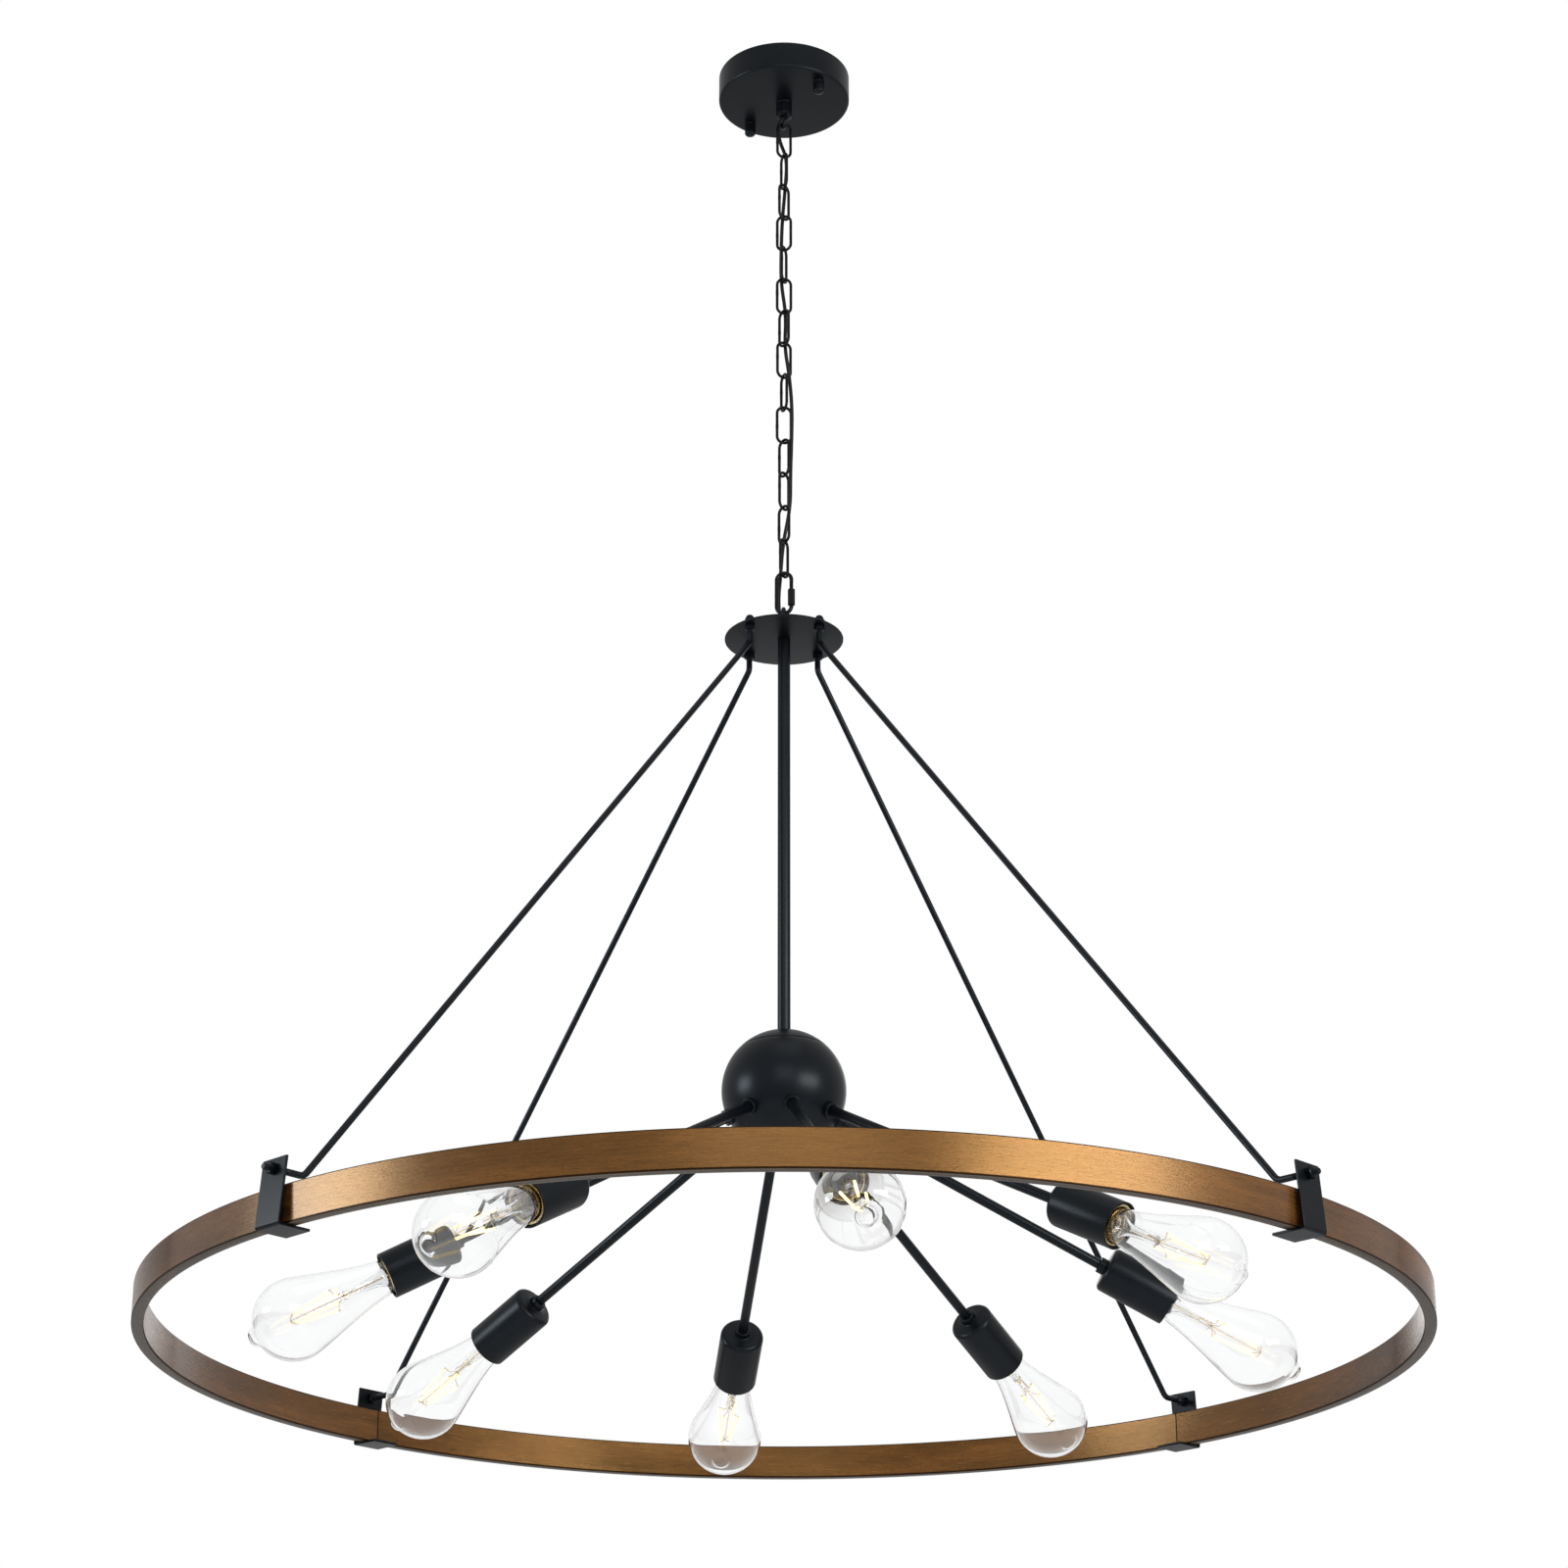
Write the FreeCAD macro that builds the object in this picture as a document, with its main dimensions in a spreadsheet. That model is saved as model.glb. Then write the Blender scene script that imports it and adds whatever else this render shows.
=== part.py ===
import FreeCAD, Part
import math
import os

import Sketcher
from FreeCAD import Placement, Rotation, Vector

# Chandelier with a wooden hoop: a ceiling canopy, a chain with a quick link, a round plate that
# carries a stem with a ball and eight lamp arms, and four tie rods down to brackets under the hoop.
# Frame: millimetres, +Z up, origin at the centre of the ceiling plane, so the lamp hangs below zero.
# Turns about Z are counted from the -Y side towards +X, slopes from the horizontal downwards.

doc = FreeCAD.newDocument("Chandelier")
sheet = doc.addObject("Spreadsheet::Sheet", "sizes")

SIZES = {
    # ceiling canopy and what is inside it
    "canopy_radius": 58.5,
    "canopy_height": 25.0,
    "canopy_wall": 1.2,
    "canopy_edge": 2.0,
    "bar_length": 106.0,
    "bar_width": 18.0,
    "bar_thickness": 2.0,
    "bar_turn_angle": 41.0,
    "box_screw_circle": 70.0,
    "box_screw_hole": 2.4,
    "stud_reach": 46.0,
    "stud_radius": 2.0,
    "stud_nut_radius": 4.0,
    "stud_nut_height": 3.2,
    "cap_nut_radius": 5.0,
    "cap_nut_height": 12.0,
    "cap_nut_bore_depth": 9.0,
    "stud_in_cap": 8.4,
    "screw_fit": 0.05,
    # loops at the two ends of the chain
    "loop_drop": 27.0,
    "loop_rise": 29.0,
    "loop_wire": 1.7,
    "loop_hoop_radius": 5.2,
    "collar_radius": 7.25,
    "collar_height": 15.0,
    "nipple_radius": 4.2,
    "nipple_length": 9.0,
    "cord_bore": 2.2,
    "cord_flare": 1.2,
    "cord_flare_depth": 5.0,
    "loop_nut_radius": 8.0,
    "loop_nut_height": 4.0,
    "grip_height": 4.0,
    # chain and quick link
    "link_wire": 1.25,
    "link_inner_length": 32.2,
    "link_eye_radius": 4.8,
    "chain_gap": 0.2,
    "quick_wire": 1.7,
    "quick_inner_length": 34.2,
    "quick_eye_radius": 4.6,
    "quick_gap": 6.0,
    "quick_stub": 3.2,
    "sleeve_radius": 3.1,
    "sleeve_length": 15.0,
    "sleeve_seat": 0.8,
    "sleeve_fit": 0.05,
    "cord_radius": 1.6,
    # plate, stem and ball
    "plate_radius": 50.0,
    "plate_thickness": 1.5,
    "stem_radius": 5.25,
    "stem_wall": 1.0,
    "stem_length": 362.7,
    "stem_to_ball": 34.0,
    "ball_radius": 50.0,
    "ball_wall": 1.5,
    "seam_angle": 44.5,
    "seam_gap": 0.4,
    "spigot_height": 5.0,
    "stem_nut_radius": 9.0,
    "stem_nut_height": 5.0,
    # tie rods and their nuts
    "rod_radius": 2.5,
    "rod_circle": 41.0,
    "rod_stub": 15.0,
    "rod_bend": 8.0,
    "rod_knee_setback": 23.0,
    "rod_end_overhang": 12.5,
    "rod_hole_height": 26.0,
    "rod_tip_height": 5.5,
    "rod_nut_radius": 4.6,
    "rod_nut_height": 4.0,
    "rod_cap_height": 8.5,
    "rod_cap_bore_depth": 6.0,
    # brackets
    "bracket_width": 26.0,
    "bracket_height": 50.0,
    "bracket_thickness": 2.0,
    "bracket_lean_angle": 5.0,
    "bracket_foot": 28.0,
    "bracket_standoff": 5.0,
    "bracket_hole_play": 0.3,
    "bracket_bend": 1.5,
    # wooden hoop
    "ring_drop": 195.8,
    "ring_radius": 500.0,
    "ring_height": 28.5,
    "ring_thickness": 9.4,
    "ring_edge": 0.6,
    "ring_joint_angle": 0.03,
    "dowel_radius": 2.5,
    "dowel_length": 30.0,
    "dowel_spacing": 13.0,
    "dowel_fit": 0.1,
    # arms, sockets and bulbs, as distances from the ball's centre along an arm
    "arm_turn_angle": 7.0,
    "arm_slope_angle": 27.7,
    "arm_radius": 4.0,
    "arm_wall": 0.8,
    "arm_root": 40.0,
    "arm_tail": 3.6,
    "arm_nut_radius": 6.5,
    "arm_nut_height": 4.0,
    "arm_fit": 0.1,
    "socket_reach": 291.0,
    "socket_length": 58.0,
    "socket_radius": 18.3,
    "socket_wall": 1.6,
    "socket_edge": 3.0,
    "socket_boss_radius": 6.5,
    "socket_boss_length": 6.0,
    "holder_gap": 0.3,
    "holder_setback": 3.5,
    "holder_back": 5.6,
    "bulb_base_radius": 13.1,
    "bulb_base_length": 25.0,
    "bulb_contact_radius": 4.8,
    "bulb_contact_height": 3.0,
    "bulb_length": 140.0,
    "bulb_radius": 32.0,
    "bulb_neck_radius": 14.5,
    "bulb_collar": 2.0,
    "bulb_neck_length": 36.0,
    "bulb_shoulder_angle": 15.6,
    "bulb_wall": 0.9,
    "bulb_seat": 33.0,
    "bulb_pip_radius": 6.0,
    "bulb_pip_tip": 3.0,
    "bulb_pip_height": 5.0,
    "cut_overrun": 1.0,
}

ARM_COUNT = 8
ROD_COUNT = 4
# How each chain link is turned about the vertical, from the top one to the bottom one, in degrees
# from +X. Links of a slack-free chain twist, so neighbours cross at 55 to 90 degrees.
LINK_TURNS = [14, -67, 47, -10, 70, 5, -50, 19, -68, 8, -50, 50, -46, 58]
TOP_LOOP_TURN = 104
QUICK_TURN = -10
BOTTOM_LOOP_TURN = 80
# A round cap nut's edge radius, as a share of its own radius.
CAP_EDGE = 0.3


for row, (alias, number) in enumerate(SIZES.items(), start=1):
    sheet.set("A%d" % row, alias)
    sheet.set("B%d" % row, "%g" % number)
    sheet.setAlias("B%d" % row, alias)
doc.recompute()


class Size:
    """A length or an angle: its number, and the expression on the sheet that it comes from."""

    def __init__(self, number, text):
        self.number = number
        self.text = text

    def __add__(self, other):
        return joined(self, other, "+", lambda a, b: a + b)

    def __radd__(self, other):
        return joined(other, self, "+", lambda a, b: a + b)

    def __sub__(self, other):
        return joined(self, other, "-", lambda a, b: a - b)

    def __rsub__(self, other):
        return joined(other, self, "-", lambda a, b: a - b)

    def __mul__(self, other):
        return joined(self, other, "*", lambda a, b: a * b)

    def __rmul__(self, other):
        return joined(other, self, "*", lambda a, b: a * b)

    def __truediv__(self, other):
        return joined(self, other, "/", lambda a, b: a / b)

    def __neg__(self):
        return joined(0.0, self, "-", lambda a, b: a - b)


def as_size(item):
    if isinstance(item, Size):
        return item
    return Size(float(item), "(%r)" % float(item))


def joined(first, second, sign, rule):
    a = as_size(first)
    b = as_size(second)
    return Size(rule(a.number, b.number), "(%s %s %s)" % (a.text, sign, b.text))


def of(alias):
    return Size(float(sheet.get(alias)), "sizes." + alias)


def sine(angle):
    return Size(math.sin(math.radians(angle.number)), "sin(%s)" % angle.text)


def cosine(angle):
    return Size(math.cos(math.radians(angle.number)), "cos(%s)" % angle.text)


def tangent(angle):
    return Size(math.tan(math.radians(angle.number)), "tan(%s)" % angle.text)


def root(value):
    return Size(math.sqrt(value.number), "sqrt(%s)" % value.text)


# Heights down the lamp, each from the one above it.
canopy_floor = -of("canopy_height")
top_hoop_seat = canopy_floor - of("loop_drop") + 2 * of("loop_wire")
link_pitch = of("link_inner_length") - of("chain_gap")
first_link = top_hoop_seat + of("chain_gap") - of("link_inner_length") / 2
last_link_seat = first_link - link_pitch * (len(LINK_TURNS) - 1) - of("link_inner_length") / 2
quick_centre = last_link_seat + of("chain_gap") - of("quick_inner_length") / 2
quick_seat = quick_centre - of("quick_inner_length") / 2
bottom_hoop_top = quick_seat + of("chain_gap") + 2 * of("loop_wire")
plate_top = bottom_hoop_top - of("loop_rise")
plate_bottom = plate_top - of("plate_thickness")
ball_centre = plate_bottom - of("stem_length") - of("stem_to_ball")
ring_centre = ball_centre - of("ring_drop")
ring_bottom = ring_centre - of("ring_height") / 2
rod_hole = ring_centre + of("rod_hole_height")
overrun = of("cut_overrun")


def bind(item, name, size):
    """Set one size of an object, tied to the sheet."""
    size = as_size(size)
    setattr(item, name, size.number)
    if "sizes." in size.text:
        item.setExpression(name, size.text)


def place(item, x=0.0, y=0.0, z=0.0, rotation=Rotation()):
    """Put an object where it belongs, with its three distances tied to the sheet."""
    spots = [as_size(x), as_size(y), as_size(z)]
    item.Placement = Placement(Vector(*[spot.number for spot in spots]), rotation)
    for axis, spot in zip("xyz", spots):
        if "sizes." in spot.text:
            item.setExpression("Placement.Base." + axis, spot.text)
    return item


def turned_to(azimuth):
    """Rotation about Z that takes the +X side to an azimuth counted from -Y towards +X."""
    return Rotation(Vector(0, 0, 1), azimuth - 90)


def primitive(kind, name, **sizes):
    item = doc.addObject("Part::" + kind, name)
    for key, size in sizes.items():
        bind(item, key, size)
    return item


def cylinder(name, radius, height, bottom=0.0, x=0.0, y=0.0, rotation=Rotation()):
    item = primitive("Cylinder", name, Radius=radius, Height=height)
    return place(item, x, y, bottom, rotation)


def fused(name, *parts):
    item = doc.addObject("Part::MultiFuse", name)
    item.Shapes = list(parts)
    return item


def together(name, *parts):
    """Separate solids that share one node."""
    item = doc.addObject("Part::Compound", name)
    item.Links = list(parts)
    return item


def cut(name, base, tool):
    item = doc.addObject("Part::Cut", name)
    item.Base = base
    item.Tool = tool
    return item


def origin_feature(body, role):
    return [item for item in body.Origin.OriginFeatures if item.Role == role][0]


def draw(body, name, outline):
    """A closed outline in the body's XZ plane, its corners tied to the sheet.

    A corner is (x, y), or (x, y, radius) where an arc of that radius runs on to the next corner,
    anticlockwise for a positive radius and clockwise for a negative one.
    """
    sketch = body.newObject("Sketcher::SketchObject", name)
    sketch.AttachmentSupport = [(origin_feature(body, "XZ_Plane"), "")]
    sketch.MapMode = "FlatFace"
    corners = [(as_size(corner[0]), as_size(corner[1])) for corner in outline]
    spots = [Vector(x.number, y.number, 0) for x, y in corners]
    starts = []
    for index, corner in enumerate(outline):
        here = spots[index]
        there = spots[(index + 1) % len(spots)]
        if len(corner) == 2:
            sketch.addGeometry(Part.LineSegment(here, there), False)
            starts.append((1, 2))
            continue
        radius = as_size(corner[2]).number
        middle = (here + there) * 0.5
        along = there - here
        left = Vector(-along.y, along.x, 0).normalize()
        rise = math.sqrt(max(radius * radius - along.Length ** 2 / 4, 0.0))
        centre = middle + left * math.copysign(rise, radius)
        first, last = (here, there) if radius > 0 else (there, here)
        angles = [math.atan2(spot.y - centre.y, spot.x - centre.x) for spot in (first, last)]
        circle = Part.Circle(centre, Vector(0, 0, 1), abs(radius))
        sketch.addGeometry(Part.ArcOfCircle(circle, angles[0], angles[1]), False)
        starts.append((1, 2) if radius > 0 else (2, 1))
    count = len(corners)
    for index in range(count):
        following = (index + 1) % count
        rule = Sketcher.Constraint(
            "Coincident", index, starts[index][1], following, starts[following][0])
        sketch.addConstraint(rule)
    for index, corner in enumerate(corners):
        for axis, size in zip("XY", corner):
            rule = Sketcher.Constraint(
                "Distance" + axis, -1, 1, index, starts[index][0], size.number)
            number = sketch.addConstraint(rule)
            if "sizes." in size.text:
                label = "corner%d%s" % (index, axis)
                sketch.renameConstraint(number, label)
                sketch.setExpression("Constraints." + label, size.text)
    for index, corner in enumerate(outline):
        if len(corner) == 3:
            radius = as_size(corner[2])
            radius = radius if radius.number > 0 else -radius
            number = sketch.addConstraint(Sketcher.Constraint("Radius", index, radius.number))
            label = "arc%d" % index
            sketch.renameConstraint(number, label)
            if "sizes." in radius.text:
                sketch.setExpression("Constraints." + label, radius.text)
    return sketch


def revolved(name, outline, angle=360.0):
    """A body turned about Z from an outline of radii and heights."""
    body = doc.addObject("PartDesign::Body", name)
    sketch = draw(body, name + "_outline", outline)
    turning = body.newObject("PartDesign::Revolution", name + "_turning")
    turning.Profile = sketch
    turning.ReferenceAxis = (sketch, ["V_Axis"])
    turning.Midplane = True
    bind(turning, "Angle", angle)
    return body


def padded(name, outline, length):
    """A body made from an outline in the XZ plane, as thick as length and centred on that plane."""
    body = doc.addObject("PartDesign::Body", name)
    sketch = draw(body, name + "_outline", outline)
    pad = body.newObject("PartDesign::Pad", name + "_pad")
    pad.Profile = sketch
    pad.SideType = "Symmetric"
    bind(pad, "Length", length)
    return body


def hexagon_nut(name, corner_radius, height, bore, bottom=0.0, x=0.0, y=0.0, rotation=Rotation()):
    """A plain hexagon nut that starts at its bottom and points along its own Z."""
    prism = primitive("Prism", name + "_prism", Circumradius=corner_radius, Height=height)
    prism.Polygon = 6
    hole = cylinder(name + "_bore", bore, as_size(height) + 2 * overrun, -overrun)
    return place(cut(name, prism, hole), x, y, bottom, rotation)


def around(radius, azimuth):
    """x and y of a point at a radius and an azimuth."""
    angle = math.radians(azimuth)
    return as_size(radius) * round(math.sin(angle), 9), as_size(radius) * round(-math.cos(angle), 9)


def arm_rotation(azimuth):
    """Takes +Z to the direction of an arm."""
    tilt = Rotation(Vector(1, 0, 0), 90 + of("arm_slope_angle").number)
    return Rotation(Vector(0, 0, 1), azimuth) * tilt


def along_arm(item, azimuth, distance):
    """Place an object at a distance from the ball's centre along an arm, its Z pointing outwards."""
    reach = as_size(distance) * cosine(of("arm_slope_angle"))
    x, y = around(reach, azimuth)
    drop = as_size(distance) * sine(of("arm_slope_angle"))
    return place(item, x, y, ball_centre - drop, arm_rotation(azimuth))


def arm_azimuths():
    return [of("arm_turn_angle").number + index * 360 / ARM_COUNT for index in range(ARM_COUNT)]


def rod_azimuths():
    return [180 / ROD_COUNT + index * 360 / ROD_COUNT for index in range(ROD_COUNT)]


# ---------------------------------------------------------------- canopy and ceiling hardware


def stud_spots():
    turn = of("bar_turn_angle").number
    return [around(of("stud_reach"), turn), around(of("stud_reach"), turn + 180)]


def canopy_cover():
    radius = of("canopy_radius")
    height = of("canopy_height")
    wall = of("canopy_wall")
    edge = of("canopy_edge")
    bore = of("nipple_radius") + of("screw_fit")
    shell = revolved("canopy_shell", [
        (bore, -height),
        (radius - edge, -height, edge),
        (radius, -height + edge),
        (radius, 0),
        (radius - wall, 0),
        (radius - wall, -height + edge, -(edge - wall)),
        (radius - edge, -height + wall),
        (bore, -height + wall),
    ])
    holes = []
    for index, (x, y) in enumerate(stud_spots()):
        name = "canopy_stud_hole_%d" % (index + 1)
        holes.append(cylinder(name, of("stud_radius") + of("screw_fit"), height, -height - overrun, x, y))
    return cut("canopy_cover", shell, together("canopy_stud_holes", *holes))


def mounting_bar():
    """Flat bar against the ceiling box, with round holes for its screws and threads for the studs."""
    length = of("bar_length")
    width = of("bar_width")
    thickness = of("bar_thickness")
    depth = thickness + 2 * overrun
    blank = primitive("Box", "bar_blank", Length=length, Width=width, Height=thickness)
    place(blank, -length / 2, -width / 2, -thickness)
    tools = []
    for side in (-1, 1):
        spots = (("box", of("box_screw_circle") / 2, of("box_screw_hole")),
                 ("stud", of("stud_reach"), of("stud_radius") + of("screw_fit")))
        for kind, reach, radius in spots:
            name = "bar_%s_hole_%s" % (kind, "left" if side < 0 else "right")
            tools.append(cylinder(name, radius, depth, -thickness - overrun, reach * side))
    tools.append(cylinder("bar_wire_hole", of("collar_radius"), depth, -thickness - overrun))
    bar = cut("mounting_bar", blank, together("bar_holes", *tools))
    return place(bar, rotation=turned_to(of("bar_turn_angle").number))


def mounting_studs():
    reach = of("canopy_height") + of("stud_in_cap")
    studs = []
    for index, (x, y) in enumerate(stud_spots()):
        name = "stud_%d" % (index + 1)
        studs.append(cylinder(name, of("stud_radius"), reach, -reach, x, y))
    return together("mounting_studs", *studs)


def stud_nuts():
    nuts = []
    bottom = -of("bar_thickness") - of("stud_nut_height")
    for index, (x, y) in enumerate(stud_spots()):
        bore = of("stud_radius") + of("screw_fit")
        name = "stud_nut_%d" % (index + 1)
        nuts.append(hexagon_nut(name, of("stud_nut_radius"), of("stud_nut_height"), bore, bottom, x, y))
    return together("stud_nuts", *nuts)


def blind_cap(name, radius, height, bore, depth):
    """A round cap nut, open towards its own -Z, with a rounded end."""
    edge = radius * CAP_EDGE
    return revolved(name, [
        (0, depth),
        (bore, depth),
        (bore, 0),
        (radius, 0),
        (radius, height - edge, edge),
        (radius - edge, height),
        (0, height),
    ])


def canopy_cap_nuts():
    caps = []
    flip = Rotation(Vector(1, 0, 0), 180)
    for index, (x, y) in enumerate(stud_spots()):
        cap = blind_cap("canopy_cap_%d" % (index + 1), of("cap_nut_radius"), of("cap_nut_height"),
                        of("stud_radius") + of("screw_fit"), of("cap_nut_bore_depth"))
        caps.append(place(cap, x, y, canopy_floor, flip))
    return together("canopy_cap_nuts", *caps)


def chain_loop(name, total, nipple_length):
    """A hoop on a round collar, hollow for the cord, with a threaded nipple behind the collar.

    Built pointing up its own Z: the collar stands on zero and the hoop's outer top is at total.
    """
    wire = of("loop_wire")
    hoop = of("loop_hoop_radius")
    leg_top = total - wire - hoop
    leg = leg_top - of("collar_height") / 2
    bow = primitive("Torus", name + "_bow", Radius1=hoop, Radius2=wire, Angle3=180.0)
    place(bow, 0, 0, leg_top, Rotation(Vector(1, 0, 0), 90))
    parts = [bow]
    for side in (-1, 1):
        leg_name = name + ("_leg_left" if side < 0 else "_leg_right")
        parts.append(cylinder(leg_name, wire, leg, of("collar_height") / 2, hoop * side))
    parts.append(cylinder(name + "_collar", of("collar_radius"), of("collar_height")))
    parts.append(cylinder(name + "_nipple", of("nipple_radius"), nipple_length, -nipple_length))
    bore_length = of("collar_height") + nipple_length + 2 * overrun
    bore = cylinder(name + "_bore", of("cord_bore"), bore_length, -nipple_length - overrun)
    flare = primitive("Cone", name + "_flare", Radius1=of("cord_bore"),
                      Radius2=of("cord_bore") + of("cord_flare"), Height=of("cord_flare_depth"))
    place(flare, 0, 0, of("collar_height") - of("cord_flare_depth"))
    return cut(name, fused(name + "_solid", *parts), fused(name + "_mouth", bore, flare))


def canopy_loop():
    loop = chain_loop("canopy_loop", of("loop_drop"), of("nipple_length"))
    upside_down = Rotation(Vector(0, 0, 1), TOP_LOOP_TURN) * Rotation(Vector(1, 0, 0), 180)
    return place(loop, 0, 0, canopy_floor, upside_down)


def canopy_loop_nut():
    bottom = canopy_floor + of("canopy_wall")
    bore = of("nipple_radius") + of("screw_fit")
    return hexagon_nut("canopy_loop_nut", of("loop_nut_radius"), of("loop_nut_height"), bore, bottom)


def cord_grip():
    """Bush on the nipple's end that holds the cord."""
    bottom = canopy_floor + of("nipple_length")
    body = cylinder("grip_body", of("nipple_radius"), of("grip_height"), bottom)
    hole = cylinder("grip_hole", of("cord_radius"), of("grip_height") + 2 * overrun, bottom - overrun)
    return cut("cord_grip", body, hole)


# ---------------------------------------------------------------- chain, quick link and cord


def bow_and_legs(name, wire, eye_radius, inner_length, right_leg=True):
    """A long link in its own XZ plane: two half rings and the straight legs between them."""
    centre_radius = eye_radius + wire
    leg = inner_length - 2 * eye_radius
    parts = []
    for end, tilt in (("top", 90), ("bottom", -90)):
        bow = primitive("Torus", "%s_%s" % (name, end), Radius1=centre_radius, Radius2=wire,
                        Angle3=180.0)
        height = leg / 2 if end == "top" else -leg / 2
        parts.append(place(bow, 0, 0, height, Rotation(Vector(1, 0, 0), tilt)))
    parts.append(cylinder(name + "_left", wire, leg, -leg / 2, -centre_radius))
    if right_leg:
        parts.append(cylinder(name + "_right", wire, leg, -leg / 2, centre_radius))
    return parts


def chain_link(index):
    name = "chain_link_%02d" % (index + 1)
    parts = bow_and_legs(name, of("link_wire"), of("link_eye_radius"), of("link_inner_length"))
    link = fused(name, *parts)
    height = first_link - link_pitch * index
    return place(link, 0, 0, height, Rotation(Vector(0, 0, 1), LINK_TURNS[index]))


def quick_leg():
    return of("quick_inner_length") - 2 * of("quick_eye_radius")


def quick_link():
    """Link whose right leg is open for a short way, where the sleeve closes it."""
    name = "quick_link"
    wire = of("quick_wire")
    side = of("quick_eye_radius") + wire
    leg = quick_leg()
    parts = bow_and_legs(name, wire, of("quick_eye_radius"), of("quick_inner_length"), False)
    lower = of("quick_stub")
    parts.append(cylinder(name + "_stub", wire, lower, -leg / 2, side))
    upper = leg - lower - of("quick_gap")
    parts.append(cylinder(name + "_thread", wire, upper, leg / 2 - upper, side))
    link = fused(name, *parts)
    return place(link, 0, 0, quick_centre, Rotation(Vector(0, 0, 1), QUICK_TURN))


def quick_link_sleeve():
    side = of("quick_eye_radius") + of("quick_wire")
    x = side * round(math.cos(math.radians(QUICK_TURN)), 9)
    y = side * round(math.sin(math.radians(QUICK_TURN)), 9)
    bottom = quick_centre - quick_leg() / 2 + of("sleeve_seat")
    bore = of("quick_wire") + of("sleeve_fit")
    return hexagon_nut("quick_link_sleeve", of("sleeve_radius"), of("sleeve_length"), bore, bottom, x, y,
                       Rotation(Vector(0, 0, 1), QUICK_TURN))


def tube_along(name, points, radius, bend=None):
    """A round bar along straight runs, with an arc at each corner.

    Without a bend radius, each arc is as large as its two runs allow: 0.45 of the shorter run over
    the tangent of half the turn. Returns the object, the arcs' radii and the length of the path.
    """
    share = 0.45
    edges = []
    radii = []
    start = points[0]
    for before, corner, after in zip(points, points[1:], points[2:]):
        coming = (corner - before).normalize()
        going = (after - corner).normalize()
        half_turn = coming.getAngle(going) / 2
        shorter = min((corner - before).Length, (after - corner).Length)
        setback = bend * math.tan(half_turn) if bend else share * shorter
        radii.append(setback / math.tan(half_turn))
        enter = corner - coming * setback
        leave = corner + going * setback
        across = (going - coming).normalize()
        centre = corner + across * (radii[-1] / math.cos(half_turn))
        middle = centre + (corner - centre).normalize() * radii[-1]
        edges.append(Part.LineSegment(start, enter).toShape())
        edges.append(Part.Arc(enter, middle, leave).toShape())
        start = leave
    edges.append(Part.LineSegment(start, points[-1]).toShape())
    path = Part.Wire(edges)
    heading = points[1] - points[0]
    section = Part.Wire([Part.Circle(points[0], heading, radius).toShape()])
    item = doc.addObject("Part::Feature", name)
    item.Shape = path.makePipeShell([section], True, False)
    return item, radii, path.Length


# The cord's corners, from the grip in the canopy to the stem, as x, y and the drop from the top
# loop's seat. It weaves from side to side of the chain, a link at a time.
CORD_ROUTE = [
    (0.0, 0.0, -36.0),
    (0.0, 0.0, -9.6),
    (-6.5, 3.0, 0.0),
    (-3.2, 6.0, 15.0),
    (3.0, 5.5, 32.0),
    (1.0, 6.5, 64.0),
    (-1.5, 4.0, 96.0),
    (-2.5, 4.2, 128.0),
    (-2.7, 4.0, 160.0),
    (2.0, 5.5, 192.0),
    (0.5, 5.0, 224.0),
    (4.5, -3.0, 256.0),
    (7.0, -2.5, 288.0),
    (6.5, -2.3, 320.0),
    (5.5, -1.0, 352.0),
    (5.5, -0.5, 384.0),
    (-1.0, 6.5, 416.0),
    (-3.0, 5.5, 448.0),
    (-4.6, 5.2, 466.0),
    (-4.0, 5.5, 482.0),
    (0.0, 0.0, 493.4),
    (0.0, 0.0, 517.0),
]


def supply_cord():
    seat = top_hoop_seat.number
    points = [Vector(x, y, seat - drop) for x, y, drop in CORD_ROUTE]
    cord, radii, length = tube_along("supply_cord", points, of("cord_radius").number)
    volume = math.pi * of("cord_radius").number ** 2 * length
    print("supply_cord: length %.1f, arcs %s" % (length, " ".join("%.0f" % item for item in radii)))
    print("supply_cord: volume %.1f of %.1f" % (cord.Shape.Volume, volume))
    return cord


# ---------------------------------------------------------------- plate, stem and ball


def lamp_loop():
    loop = chain_loop("lamp_loop", of("loop_rise"), of("nipple_length") + of("plate_thickness"))
    return place(loop, 0, 0, plate_top, Rotation(Vector(0, 0, 1), BOTTOM_LOOP_TURN))


def top_plate():
    blank = cylinder("plate_blank", of("plate_radius"), of("plate_thickness"), plate_bottom)
    depth = of("plate_thickness") + 2 * overrun
    start = plate_bottom - overrun
    holes = [cylinder("plate_centre_hole", of("nipple_radius") + of("screw_fit"), depth, start)]
    for index, azimuth in enumerate(rod_azimuths()):
        x, y = around(of("rod_circle"), azimuth)
        name = "plate_rod_hole_%d" % (index + 1)
        holes.append(cylinder(name, of("rod_radius") + of("screw_fit"), depth, start, x, y))
    return cut("top_plate", blank, together("plate_holes", *holes))


def stem_tube():
    length = of("stem_length")
    outside = cylinder("stem_outside", of("stem_radius"), length, plate_bottom - length)
    inside = cylinder("stem_inside", of("stem_radius") - of("stem_wall"), length + 2 * overrun,
                      plate_bottom - length - overrun)
    return cut("stem_tube", outside, inside)


def stem_nut():
    """Nut on the stem's end, inside the ball, that clamps the cap to the stem."""
    inner = of("ball_radius") - of("ball_wall")
    under_cap = root(inner * inner - of("stem_nut_radius") * of("stem_nut_radius"))
    bottom = ball_centre + under_cap - of("stem_nut_height")
    return hexagon_nut("stem_nut", of("stem_nut_radius"), of("stem_nut_height"),
                       of("stem_radius") + of("screw_fit"), bottom)


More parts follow.
